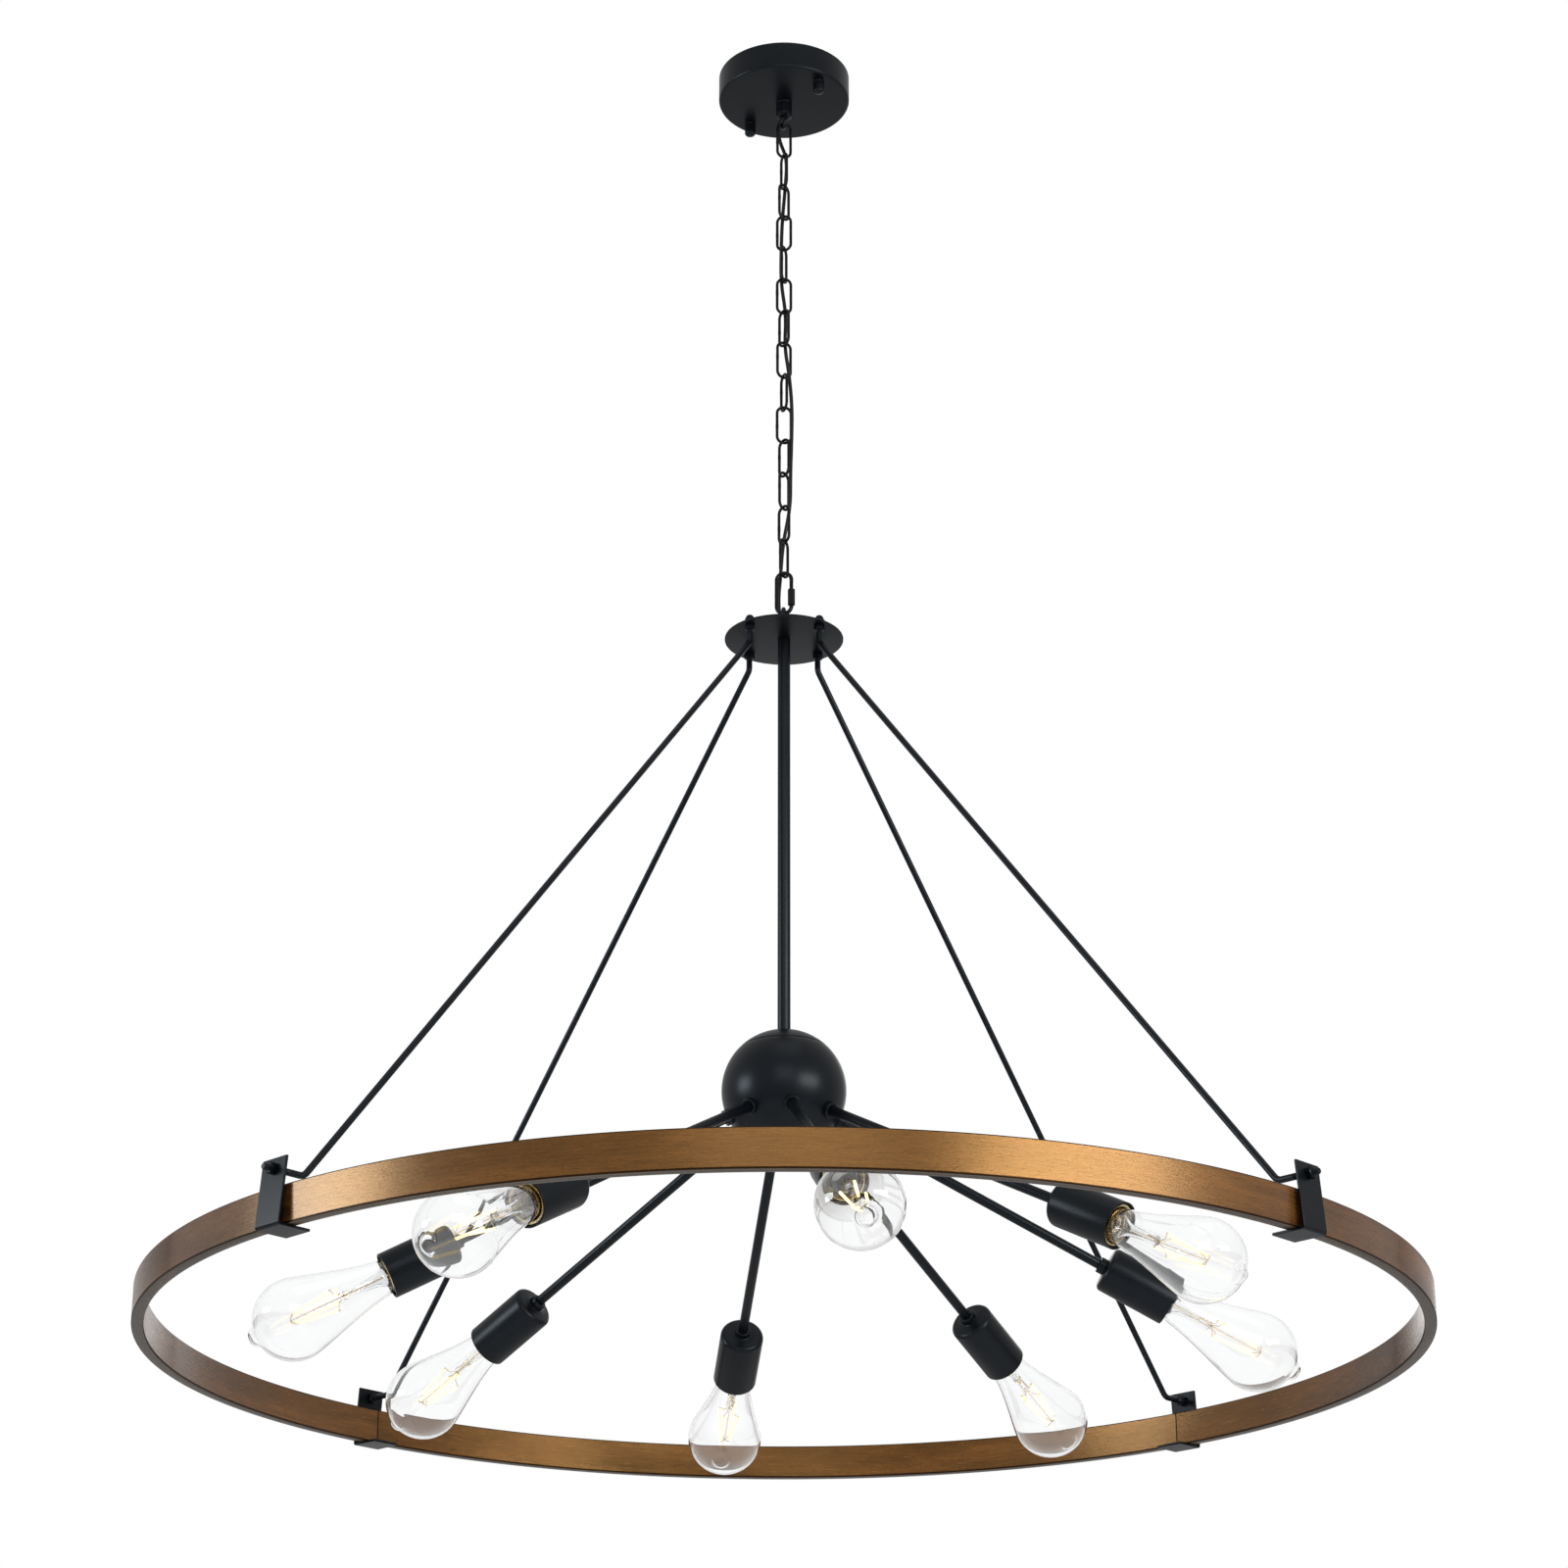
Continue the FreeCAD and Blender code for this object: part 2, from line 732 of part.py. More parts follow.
def arm_bores(name, radius):
    """Eight round bars along the arms, for the holes in the ball."""
    bars = []
    for index, azimuth in enumerate(arm_azimuths()):
        bar = primitive("Cylinder", "%s_%d" % (name, index + 1), Radius=radius, Height=of("ball_radius"))
        bars.append(along_arm(bar, azimuth, of("ball_radius") / 2))
    return together(name, *bars)


def ball_shell():
    """Lower part of the ball, up to the seam, with a hole for each arm."""
    outer = of("ball_radius")
    inner = outer - of("ball_wall")
    seam = outer * sine(of("seam_angle")) - of("seam_gap")
    bowl = revolved("ball_bowl", [
        (0, -outer, outer),
        (root(outer * outer - seam * seam), seam),
        (root(inner * inner - seam * seam), seam, -inner),
        (0, -inner),
    ])
    place(bowl, 0, 0, ball_centre)
    return cut("ball_shell", bowl, arm_bores("ball_holes", of("arm_radius") + of("arm_fit")))


def ball_cap():
    """Upper part of the ball, with the hole for the stem and a skirt that fits inside the shell."""
    outer = of("ball_radius")
    inner = outer - of("ball_wall")
    seam = outer * sine(of("seam_angle"))
    bore = of("stem_radius") + of("screw_fit")
    shell_mouth = root(inner * inner - (seam - of("seam_gap")) * (seam - of("seam_gap")))
    skirt = shell_mouth - of("seam_gap") / 2
    skirt_inside = skirt - of("ball_wall")
    skirt_bottom = seam - of("spigot_height")
    cap = revolved("ball_cap", [
        (root(outer * outer - seam * seam), seam, outer),
        (bore, root(outer * outer - bore * bore)),
        (bore, root(inner * inner - bore * bore), -inner),
        (skirt_inside, root(inner * inner - skirt_inside * skirt_inside)),
        (skirt_inside, skirt_bottom),
        (skirt, skirt_bottom),
        (skirt, seam),
    ])
    return place(cap, 0, 0, ball_centre)


# ---------------------------------------------------------------- tie rods, brackets and hoop


def tie_rod(index):
    azimuth = rod_azimuths()[index]

    def spot(radius, height):
        x, y = around(radius, azimuth)
        return Vector(x.number, y.number, height.number)

    points = [
        spot(of("rod_circle"), plate_top + of("rod_tip_height")),
        spot(of("rod_circle"), plate_bottom - of("rod_stub")),
        spot(of("ring_radius") - of("rod_knee_setback"), rod_hole),
        spot(of("ring_radius") + of("rod_end_overhang"), rod_hole),
    ]
    rod, radii, length = tube_along("tie_rod_%d" % (index + 1), points, of("rod_radius").number,
                                    of("rod_bend").number)
    return rod


def rod_cap_nuts():
    caps = []
    for index, azimuth in enumerate(rod_azimuths()):
        x, y = around(of("rod_circle"), azimuth)
        cap = blind_cap("rod_cap_%d" % (index + 1), of("rod_nut_radius"), of("rod_cap_height"),
                        of("rod_radius") + of("screw_fit"), of("rod_cap_bore_depth"))
        caps.append(place(cap, x, y, plate_top))
    return together("rod_cap_nuts", *caps)


def rod_under_nuts():
    nuts = []
    for index, azimuth in enumerate(rod_azimuths()):
        x, y = around(of("rod_circle"), azimuth)
        nuts.append(hexagon_nut("rod_under_nut_%d" % (index + 1), of("rod_nut_radius"),
                                of("rod_nut_height"), of("rod_radius") + of("screw_fit"),
                                plate_bottom - of("rod_nut_height"), x, y))
    return together("rod_under_nuts", *nuts)


def plate_face_reach(height):
    """Radius of a bracket plate's inner face at a height above the hoop's underside."""
    return of("ring_radius") + of("bracket_standoff") - height * tangent(of("bracket_lean_angle"))


def rod_end_nuts():
    """A nut inside and a nut outside each bracket plate."""
    nuts = []
    height = of("rod_hole_height") + of("ring_height") / 2
    lean_room = of("rod_nut_radius") * tangent(of("bracket_lean_angle")) + of("screw_fit")
    face = plate_face_reach(height)
    inner = face - lean_room - of("rod_nut_height")
    outer = face + of("bracket_thickness") / cosine(of("bracket_lean_angle")) + lean_room
    for index, azimuth in enumerate(rod_azimuths()):
        outwards = Rotation(Vector(0, 0, 1), azimuth) * Rotation(Vector(1, 0, 0), 90)
        for kind, reach in (("inner", inner), ("outer", outer)):
            x, y = around(reach, azimuth)
            nuts.append(hexagon_nut("rod_%s_nut_%d" % (kind, index + 1), of("rod_nut_radius"),
                                    of("rod_nut_height"), of("rod_radius") + of("screw_fit"),
                                    rod_hole, x, y, outwards))
    return together("rod_end_nuts", *nuts)


def bracket(index):
    """Bent sheet: a foot under the hoop and a leaning plate outside it, with a hole for the rod."""
    name = "bracket_%d" % (index + 1)
    thickness = of("bracket_thickness")
    lean = of("bracket_lean_angle")
    corner = of("ring_radius") + of("bracket_standoff")
    width = thickness / cosine(lean)
    top = of("bracket_height") - thickness
    shift = tangent(lean)
    bend = of("bracket_bend")
    foot_end = corner + width - of("bracket_foot")
    blank = padded(name + "_sheet", [
        (foot_end, -thickness),
        (corner + width - bend, -thickness, bend),
        (corner + width, -thickness + bend),
        (corner + width - top * shift, top),
        (corner - top * shift, top),
        (corner, 0),
        (foot_end, 0),
    ], of("bracket_width"))
    place(blank, 0, 0, ring_bottom)
    hole = primitive("Cylinder", name + "_hole", Radius=of("rod_radius") + of("bracket_hole_play"),
                     Height=of("bracket_foot"))
    place(hole, corner - of("bracket_foot") / 2, 0, rod_hole, Rotation(Vector(0, 1, 0), 90))
    item = cut(name, blank, hole)
    return place(item, rotation=turned_to(rod_azimuths()[index]))


def dowel(name, radius, length, height, azimuth):
    """A round bar across a joint of the hoop, at the middle of its thickness."""
    x, y = around(of("ring_radius") - of("ring_thickness") / 2, azimuth)
    bar = primitive("Cylinder", name, Radius=radius, Height=length)
    sideways = Rotation(Vector(0, 0, 1), azimuth) * Rotation(Vector(0, 1, 0), 90)
    half = as_size(length) / 2
    angle = math.radians(azimuth)
    back_x = x - half * round(math.cos(angle), 9)
    back_y = y - half * round(math.sin(angle), 9)
    return place(bar, back_x, back_y, height, sideways)


def dowel_heights():
    return [ring_centre - of("dowel_spacing") / 2, ring_centre + of("dowel_spacing") / 2]


def rim_segment(index):
    """A quarter of the wooden hoop, bored at both ends for the dowels."""
    name = "rim_segment_%d" % (index + 1)
    outer = of("ring_radius")
    inner = outer - of("ring_thickness")
    half = of("ring_height") / 2
    edge = of("ring_edge")
    blank = revolved(name + "_wood", [
        (inner, -half + edge),
        (inner + edge, -half),
        (outer - edge, -half),
        (outer, -half + edge),
        (outer, half - edge),
        (outer - edge, half),
        (inner + edge, half),
        (inner, half - edge),
    ], 360 / ROD_COUNT - of("ring_joint_angle"))
    azimuth = index * 360 / ROD_COUNT
    place(blank, 0, 0, ring_centre, turned_to(azimuth))
    bores = []
    for side in (-1, 1):
        joint = azimuth + side * 180 / ROD_COUNT
        for level, height in enumerate(dowel_heights()):
            bore_name = "%s_bore_%s_%d" % (name, "left" if side < 0 else "right", level + 1)
            bores.append(dowel(bore_name, of("dowel_radius") + of("dowel_fit"),
                               of("dowel_length") + overrun, height, joint))
    return cut(name, blank, together(name + "_bores", *bores))


def rim_dowels():
    dowels = []
    for index, azimuth in enumerate(rod_azimuths()):
        for level, height in enumerate(dowel_heights()):
            name = "dowel_%d_%d" % (index + 1, level + 1)
            dowels.append(dowel(name, of("dowel_radius"), of("dowel_length"), height, azimuth))
    return together("rim_dowels", *dowels)


# ---------------------------------------------------------------- arms, sockets and bulbs


def on_every_arm(name, distance, maker):
    """The same piece on each arm, made by maker(name) along its own Z."""
    items = []
    for index, azimuth in enumerate(arm_azimuths()):
        item = maker("%s_%d" % (name, index + 1))
        items.append(along_arm(item, azimuth, distance))
    return items


def arm_tubes():
    length = of("socket_reach") + of("arm_tail") - of("arm_root")

    def tube(name):
        outside = cylinder(name + "_outside", of("arm_radius"), length)
        inside = cylinder(name + "_inside", of("arm_radius") - of("arm_wall"), length + 2 * overrun,
                          -overrun)
        return cut(name, outside, inside)

    return together("arm_tubes", *on_every_arm("arm", of("arm_root"), tube))


def arm_nuts():
    """On each arm, a nut inside the ball's shell and a round one outside it."""
    bore = of("arm_radius") + of("screw_fit")
    outer = of("ball_radius")
    inner = outer - of("ball_wall")
    radius = of("arm_nut_radius")
    inner_seat = root(inner * inner - radius * radius) - of("arm_nut_height")
    outer_seat = root(outer * outer - bore * bore)

    def inner_nut(name):
        return hexagon_nut(name, radius, of("arm_nut_height"), bore)

    def outer_nut(name):
        body = cylinder(name + "_body", radius, of("arm_nut_height"))
        hole = cylinder(name + "_hole", bore, of("arm_nut_height") + 2 * overrun, -overrun)
        return cut(name, body, hole)

    nuts = on_every_arm("arm_inner_nut", inner_seat, inner_nut)
    nuts += on_every_arm("arm_outer_nut", outer_seat + of("screw_fit"), outer_nut)
    return together("arm_nuts", *nuts)


def socket_cups():
    radius = of("socket_radius")
    wall = of("socket_wall")
    edge = of("socket_edge")
    length = of("socket_length")
    boss = of("socket_boss_length")
    bore = of("arm_radius") + of("screw_fit")

    def cup(name):
        return revolved(name, [
            (bore, -boss),
            (of("socket_boss_radius"), -boss),
            (of("socket_boss_radius"), 0),
            (radius - edge, 0, edge),
            (radius, edge),
            (radius, length),
            (radius - wall, length),
            (radius - wall, edge, -(edge - wall)),
            (radius - edge, wall),
            (bore, wall),
        ])

    return together("socket_cups", *on_every_arm("socket_cup", of("socket_reach"), cup))


def lampholders():
    outside = of("socket_radius") - of("socket_wall") - of("holder_gap")
    bore = of("bulb_base_radius") + of("holder_gap")
    floor = of("bulb_seat") - of("holder_gap")
    back = of("holder_back")
    front = of("socket_length") - of("holder_setback")

    def holder(name):
        return revolved(name, [
            (0, back),
            (outside, back),
            (outside, front),
            (bore, front),
            (bore, floor),
            (0, floor),
        ])

    return together("lampholders", *on_every_arm("lampholder", of("socket_reach"), holder))


def bulb(index):
    """A pear-shaped lamp: its screw base, and the hollow glass that stands on it."""
    name = "bulb_%d" % (index + 1)
    base_radius = of("bulb_base_radius")
    contact = of("bulb_contact_radius")
    contact_height = of("bulb_contact_height")
    base_top = of("bulb_base_length")
    base = revolved(name + "_base", [
        (0, 0),
        (contact, 0),
        (base_radius, contact_height),
        (base_radius, base_top),
        (0, base_top),
    ])
    wall = of("bulb_wall")
    radius = of("bulb_radius")
    neck = of("bulb_neck_radius")
    neck_top = of("bulb_neck_length")
    crown = of("bulb_length") - of("bulb_pip_height") - radius
    collar_top = base_top + neck - base_radius + of("bulb_collar")
    shoulder = of("bulb_shoulder_angle")
    pip = of("bulb_pip_radius")
    tip = root(radius * radius - pip * pip)
    inner = radius - wall
    glass = revolved(name + "_glass", [
        (base_radius - wall, base_top),
        (base_radius, base_top),
        (neck, collar_top),
        (neck, neck_top),
        (radius * cosine(shoulder), crown - radius * sine(shoulder), radius),
        (pip, crown + tip),
        (of("bulb_pip_tip"), of("bulb_length")),
        (0, of("bulb_length")),
        (0, crown + inner, -inner),
        (inner * cosine(shoulder), crown - inner * sine(shoulder)),
        (neck - wall, neck_top),
        (neck - wall, collar_top),
    ])
    lamp = together(name, base, glass)
    return along_arm(lamp, arm_azimuths()[index], of("socket_reach") + of("bulb_seat"))


def build():
    nodes = [
        canopy_cover(),
        mounting_bar(),
        mounting_studs(),
        stud_nuts(),
        canopy_cap_nuts(),
        canopy_loop(),
        canopy_loop_nut(),
        cord_grip(),
    ]
    nodes += [chain_link(index) for index in range(len(LINK_TURNS))]
    nodes += [
        quick_link(),
        quick_link_sleeve(),
        supply_cord(),
        lamp_loop(),
        top_plate(),
        stem_tube(),
        stem_nut(),
        ball_shell(),
        ball_cap(),
    ]
    nodes += [tie_rod(index) for index in range(ROD_COUNT)]
    nodes += [rod_cap_nuts(), rod_under_nuts(), rod_end_nuts()]
    nodes += [bracket(index) for index in range(ROD_COUNT)]
    nodes += [rim_segment(index) for index in range(ROD_COUNT)]
    nodes += [rim_dowels(), arm_tubes(), arm_nuts(), socket_cups(), lampholders()]
    nodes += [bulb(index) for index in range(ARM_COUNT)]
    return nodes


def export(nodes):
    doc.recompute()
    for item in doc.Objects:
        if "Invalid" in item.State or "Error" in item.State:
            raise RuntimeError("%s failed: %s" % (item.Name, item.State))
    os.makedirs("parts", exist_ok=True)
    for node in nodes:
        node.Label = node.Name
        if node.Shape.isNull() or not node.Shape.isValid() or not node.Shape.Solids:
            raise RuntimeError("%s has no valid solid" % node.Name)
    for node in nodes:
        node.Shape.exportStep("parts/%s.step" % node.Name)
    print("%d nodes, %d solids" % (len(nodes), sum(len(node.Shape.Solids) for node in nodes)))


export(build())
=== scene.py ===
import math

import bmesh
import bpy
from mathutils import Matrix, Quaternion, Vector


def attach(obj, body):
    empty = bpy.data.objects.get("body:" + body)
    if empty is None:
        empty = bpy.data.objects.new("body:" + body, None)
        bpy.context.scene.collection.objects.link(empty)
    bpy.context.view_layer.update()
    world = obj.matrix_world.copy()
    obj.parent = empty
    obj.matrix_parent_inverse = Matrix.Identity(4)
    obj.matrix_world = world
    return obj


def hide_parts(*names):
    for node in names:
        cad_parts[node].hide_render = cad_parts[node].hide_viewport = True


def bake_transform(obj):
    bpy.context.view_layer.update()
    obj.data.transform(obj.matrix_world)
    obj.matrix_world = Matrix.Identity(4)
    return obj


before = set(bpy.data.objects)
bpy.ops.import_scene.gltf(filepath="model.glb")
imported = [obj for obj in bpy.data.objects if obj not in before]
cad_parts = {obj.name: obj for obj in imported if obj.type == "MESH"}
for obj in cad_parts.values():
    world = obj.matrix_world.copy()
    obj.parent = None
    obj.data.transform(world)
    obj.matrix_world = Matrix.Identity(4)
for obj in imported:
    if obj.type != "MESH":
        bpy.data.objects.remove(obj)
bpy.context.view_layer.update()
MM = 0.001
TAU = 2 * math.pi

# ---------------- sizes of the lamp, in mm
CANOPY_R, CANOPY_H, CANOPY_WALL = 58.5, 25.0, 1.2
BAR_TURN, STUD_REACH = 41.0, 46.0
CAP_R, CAP_H = 5.0, 12.0
LOOP_WIRE, LOOP_R, LOOP_DROP, LOOP_RISE = 1.7, 5.2, 27.0, 29.0
COLLAR_R, COLLAR_H, NIPPLE_R, NIPPLE_L, CORD_BORE = 7.25, 15.0, 4.2, 9.0, 2.2
FLARE, FLARE_DEPTH = 1.2, 5.0
LINK_WIRE, LINK_INNER, LINK_EYE, CHAIN_GAP = 1.25, 32.2, 4.8, 0.2
QUICK_WIRE, QUICK_INNER, QUICK_EYE, QUICK_GAP = 1.7, 34.2, 4.6, 6.0
SLEEVE_R, SLEEVE_L, SLEEVE_SEAT = 3.1, 15.0, 0.8
CORD_R = 1.6
LINK_TURNS = [14, -67, 47, -10, 70, 5, -50, 19, -68, 8, -50, 50, -46, 58]
TOP_LOOP_TURN, QUICK_TURN, BOTTOM_LOOP_TURN = 104, -10, 80
PLATE_R, PLATE_T = 50.0, 1.5
STEM_R, STEM_L, STEM_TO_BALL = 5.25, 362.7, 34.0
BALL_R, BALL_WALL, SEAM = 50.0, 1.5, 44.5
RODS, ROD_TURN, ROD_R, ROD_CIRCLE, ROD_STUB, ROD_BEND = 4, 45.0, 2.5, 41.0, 15.0, 8.0
ROD_KNEE, ROD_END, ROD_HOLE = 477.0, 512.5, 26.0
ROD_NUT_R, ROD_NUT_H = 4.6, 4.0
BRACKET_OUT, BRACKET_LEAN, BRACKET_T = 5.0, 5.0, 2.0
BRACKET_FOOT, BRACKET_TOP, BRACKET_W = 28.0, 48.0, 26.0
RING_R, RING_H, RING_T, RING_DROP = 500.0, 28.5, 9.4, 195.8
# where the dark lines of painted shade along the hoop's bottom and top corners end, in mm from the edges
LOW_SHADE_LINE, HIGH_SHADE_LINE = 1.4, 1.0
ARMS, ARM_TURN, ARM_SLOPE, ARM_R, ARM_ROOT = 8, 7.0, 27.7, 4.0, 40.0
ARM_BORE, ARM_NUT_R, ARM_NUT_H = 4.03, 6.5, 4.0
SOCKET_AT, SOCKET_L, SOCKET_R = 291.0, 58.0, 18.3
BULB_SEAT, BULB_R, BULB_NECK_R, BULB_BASE_R, BULB_L, GLASS_T = 33.0, 32.0, 14.9, 12.6, 140.0, 0.8
THREAD_PITCH, THREAD_WAVE = 3.63, 0.42

# heights and places that follow from them; the ceiling is at 0
floor_z = -CANOPY_H
hoop_seat = floor_z - LOOP_DROP + 2 * LOOP_WIRE
pitch = LINK_INNER - CHAIN_GAP
first_link = hoop_seat + CHAIN_GAP - LINK_INNER / 2
last_seat = first_link - pitch * (len(LINK_TURNS) - 1) - LINK_INNER / 2
quick_mid = last_seat + CHAIN_GAP - QUICK_INNER / 2
quick_seat = quick_mid - QUICK_INNER / 2
plate_top = quick_seat + CHAIN_GAP + 2 * LOOP_WIRE - LOOP_RISE
plate_low = plate_top - PLATE_T
ball_z = plate_low - STEM_L - STEM_TO_BALL
ring_z = ball_z - RING_DROP
ring_low = ring_z - RING_H / 2
rod_z = ring_z + ROD_HOLE


# ---------------- node materials
class Nodes:
    """Short way to write a material's nodes."""

    def __init__(self, name):
        self.material = bpy.data.materials.new(name)
        self.material.use_nodes = True
        self.tree = self.material.node_tree
        self.shader = self.tree.nodes["Principled BSDF"]
        self.output = self.tree.nodes["Material Output"]

    def add(self, kind, **settings):
        node = self.tree.nodes.new(kind)
        for key, value in settings.items():
            setattr(node, key, value)
        return node

    def link(self, start, end):
        self.tree.links.new(start, end)

    def set(self, **values):
        """Even values of the shader. An underscore stands for a space."""
        for key, value in values.items():
            self.shader.inputs[key.replace("_", " ")].default_value = value

    def coordinates(self, source, scale):
        where = self.add("ShaderNodeTexCoord")
        mapping = self.add("ShaderNodeMapping")
        mapping.inputs["Scale"].default_value = scale
        self.link(where.outputs[source], mapping.inputs["Vector"])
        return mapping.outputs["Vector"]

    def noise(self, vector, scale, detail=4.0, roughness=0.55, distortion=0.0):
        node = self.add("ShaderNodeTexNoise")
        node.inputs["Scale"].default_value = scale
        node.inputs["Detail"].default_value = detail
        node.inputs["Roughness"].default_value = roughness
        node.inputs["Distortion"].default_value = distortion
        self.link(vector, node.inputs["Vector"])
        return node.outputs["Fac"]

    def ramp(self, factor, stops):
        """Colours at places from 0 to 1 along a factor."""
        node = self.add("ShaderNodeValToRGB")
        line = node.color_ramp
        while len(line.elements) < len(stops):
            line.elements.new(0.5)
        for element, (spot, colour) in zip(line.elements, stops):
            element.position = spot
            element.color = (*colour, 1.0)
        self.link(factor, node.inputs["Fac"])
        return node.outputs["Color"]

    def spread(self, factor, low, high, start=0.25, end=0.75):
        """Takes the factor's stretch from start to end to the one from low to high."""
        node = self.add("ShaderNodeMapRange")
        node.inputs["From Min"].default_value = start
        node.inputs["From Max"].default_value = end
        node.inputs["To Min"].default_value = low
        node.inputs["To Max"].default_value = high
        self.link(factor, node.inputs["Value"])
        return node.outputs["Result"]

    def mix(self, first, second, factor):
        """The first colour times the second, as far as the factor says."""
        node = self.add("ShaderNodeMix", data_type="RGBA", blend_type="MULTIPLY")
        node.inputs["Factor"].default_value = factor
        self.link(first, node.inputs["A"])
        self.link(second, node.inputs["B"])
        return node.outputs["Result"]

    def facing(self):
        """Near 0 where the surface faces the eye, 1 at its edge."""
        node = self.add("ShaderNodeLayerWeight")
        node.inputs["Blend"].default_value = 0.5
        return node.outputs["Facing"]

    def bump(self, height, strength, distance):
        node = self.add("ShaderNodeBump")
        node.inputs["Strength"].default_value = strength
        node.inputs["Distance"].default_value = distance
        self.link(height, node.inputs["Height"])
        self.link(node.outputs["Normal"], self.shader.inputs["Normal"])


def coated_metal(name, dark, light, roughness, grain=900.0):
    """Powder coat or enamel: a slightly uneven black with a fine orange-peel skin."""
    shine = 0.125
    m = Nodes(name)
    place = m.coordinates("Object", (1, 1, 1))
    cloud = m.noise(place, 14.0, 3.0)
    m.link(m.ramp(cloud, [(0.3, dark), (0.72, light)]), m.shader.inputs["Base Color"])
    peel = m.noise(place, grain, 2.0)
    m.link(m.spread(cloud, roughness - 0.05, roughness + 0.06), m.shader.inputs["Roughness"])
    m.bump(peel, 0.16, 0.00012)
    m.link(m.spread(m.facing(), shine, 0.25 * shine, 0.2, 0.8), m.shader.inputs["Specular IOR Level"])
    m.set(Specular_Tint=(0.82, 0.91, 1.0, 1.0))
    return m.material


def bare_metal(name, dark, light, roughness):
    """Metal with faint streaks from drawing or rolling."""
    m = Nodes(name)
    streak = m.noise(m.coordinates("Object", (60, 60, 700)), 3.0, 4.0)
    m.link(m.ramp(streak, [(0.3, dark), (0.7, light)]), m.shader.inputs["Base Color"])
    m.link(m.spread(streak, roughness - 0.06, roughness + 0.08), m.shader.inputs["Roughness"])
    m.bump(streak, 0.08, 0.00005)
    m.set(Metallic=1.0)
    return m.material


def stained_wood(name, shade, warmth, along=1.0, shine=0.75):
    """Brown stain over long grain. U runs along the grain and V across it, both in metres.

    along above 1 shortens the grain, shade and warmth tint the stain, shine is its gloss.
    """
    stain = (1.0, 0.42, 0.13)
    m = Nodes(name)
    broad = m.noise(m.coordinates("UV", (7.0 * along, 62.0, 1)), 1.0, 5.0, 0.6, 0.6)
    fibre = m.noise(m.coordinates("UV", (46.0 * along, 640.0, 1)), 1.0, 6.0, 0.66, 0.35)
    fine = m.noise(m.coordinates("UV", (300.0 * along, 1150.0, 1)), 1.0, 3.0, 0.65)
    pores = m.noise(m.coordinates("UV", (120.0 * along, 1200.0, 1)), 1.0, 2.0, 0.5)
    patch = m.noise(m.coordinates("UV", (11.0 * along, 26.0, 1)), 1.0, 3.0, 0.55)

    def tone(level):
        return tuple(level * part * change for part, change in zip(stain, shade))

    base = m.ramp(broad, [
        (0.28, tone(0.033)), (0.43, tone(0.056)), (0.58, tone(0.078)), (0.76, tone(0.110))])
    lines = m.ramp(fibre, [
        (0.32, (0.50, 0.46, 0.42)), (0.47, (0.96, 0.95, 0.94)), (0.66, (1.22, 1.19, 1.14))])
    specks = m.ramp(fine, [
        (0.32, (0.66, 0.63, 0.60)), (0.52, (1.0, 1.0, 1.0)), (0.70, (1.26, 1.24, 1.20))])
    dots = m.ramp(pores, [(0.30, (0.36, 0.32, 0.28)), (0.40, (1.0, 1.0, 1.0))])
    warm = m.ramp(patch, [(0.34, (0.74, 0.72, 0.72)), (0.66, warmth)])
    colour = m.mix(base, lines, 0.8)
    colour = m.mix(colour, specks, 0.85)
    colour = m.mix(colour, dots, 0.6)
    colour = m.mix(colour, warm, 0.8)
    m.link(colour, m.shader.inputs["Base Color"])
    m.link(m.spread(fibre, 0.20, 0.30), m.shader.inputs["Roughness"])
    m.bump(m.mix(m.mix(lines, dots, 0.5), specks, 0.8), 0.26, 0.0002)
    m.link(m.spread(m.facing(), shine, 0.04 * shine, 0.30, 0.70), m.shader.inputs["Specular IOR Level"])
    m.set(Specular_Tint=(1.0, 0.55, 0.20, 1.0))
    return m.material


def clear_glass(name, tint, wave):
    """Thin blown glass. Light from lamps passes straight through it."""
    m = Nodes(name)
    swirl = m.noise(m.coordinates("Object", (1, 1, 1)), 26.0, 2.0)
    faint = m.ramp(swirl, [(0.3, tint), (0.7, tuple(min(1.0, part * 1.02) for part in tint))])
    # base colour greyer where the glass is seen edge-on: painted shade for its grey outline
    rim = m.ramp(m.facing(), [
        (0.52, (1.0, 1.0, 1.0)), (0.80, (0.94, 0.94, 0.94)), (0.94, (0.56, 0.56, 0.56))])
    m.link(m.mix(faint, rim, 1.0), m.shader.inputs["Base Color"])
    m.bump(swirl, wave, 0.0006)
    m.set(Transmission_Weight=1.0, Roughness=0.0, IOR=1.45, Specular_IOR_Level=0.3)
    passing = m.add("ShaderNodeBsdfTransparent")
    path = m.add("ShaderNodeLightPath")
    either = m.add("ShaderNodeMixShader")
    m.link(path.outputs["Is Shadow Ray"], either.inputs["Fac"])
    m.link(m.shader.outputs["BSDF"], either.inputs[1])
    m.link(passing.outputs["BSDF"], either.inputs[2])
    m.link(either.outputs["Shader"], m.output.inputs["Surface"])
    return m.material


def glowing(name, colour, strength):
    """Coated filament, a little brighter in beads along it."""
    m = Nodes(name)
    beads = m.noise(m.coordinates("Object", (1, 1, 1)), 900.0, 2.0)
    m.link(m.ramp(beads, [(0.3, tuple(0.92 * part for part in colour)), (0.7, colour)]),
           m.shader.inputs["Emission Color"])
    m.set(Emission_Strength=strength, Base_Color=(0.9, 0.75, 0.35, 1.0), Roughness=0.6)
    return m.material


def moulded(name, dark, light, roughness):
    """Dull plastic with a fine skin."""
    m = Nodes(name)
    skin = m.noise(m.coordinates("Object", (1, 1, 1)), 1400.0, 3.0)
    m.link(m.ramp(skin, [(0.3, dark), (0.7, light)]), m.shader.inputs["Base Color"])
    m.link(m.spread(skin, roughness - 0.04, roughness + 0.06), m.shader.inputs["Roughness"])
    m.bump(skin, 0.12, 0.00008)
    m.set(Specular_IOR_Level=0.16)
    return m.material


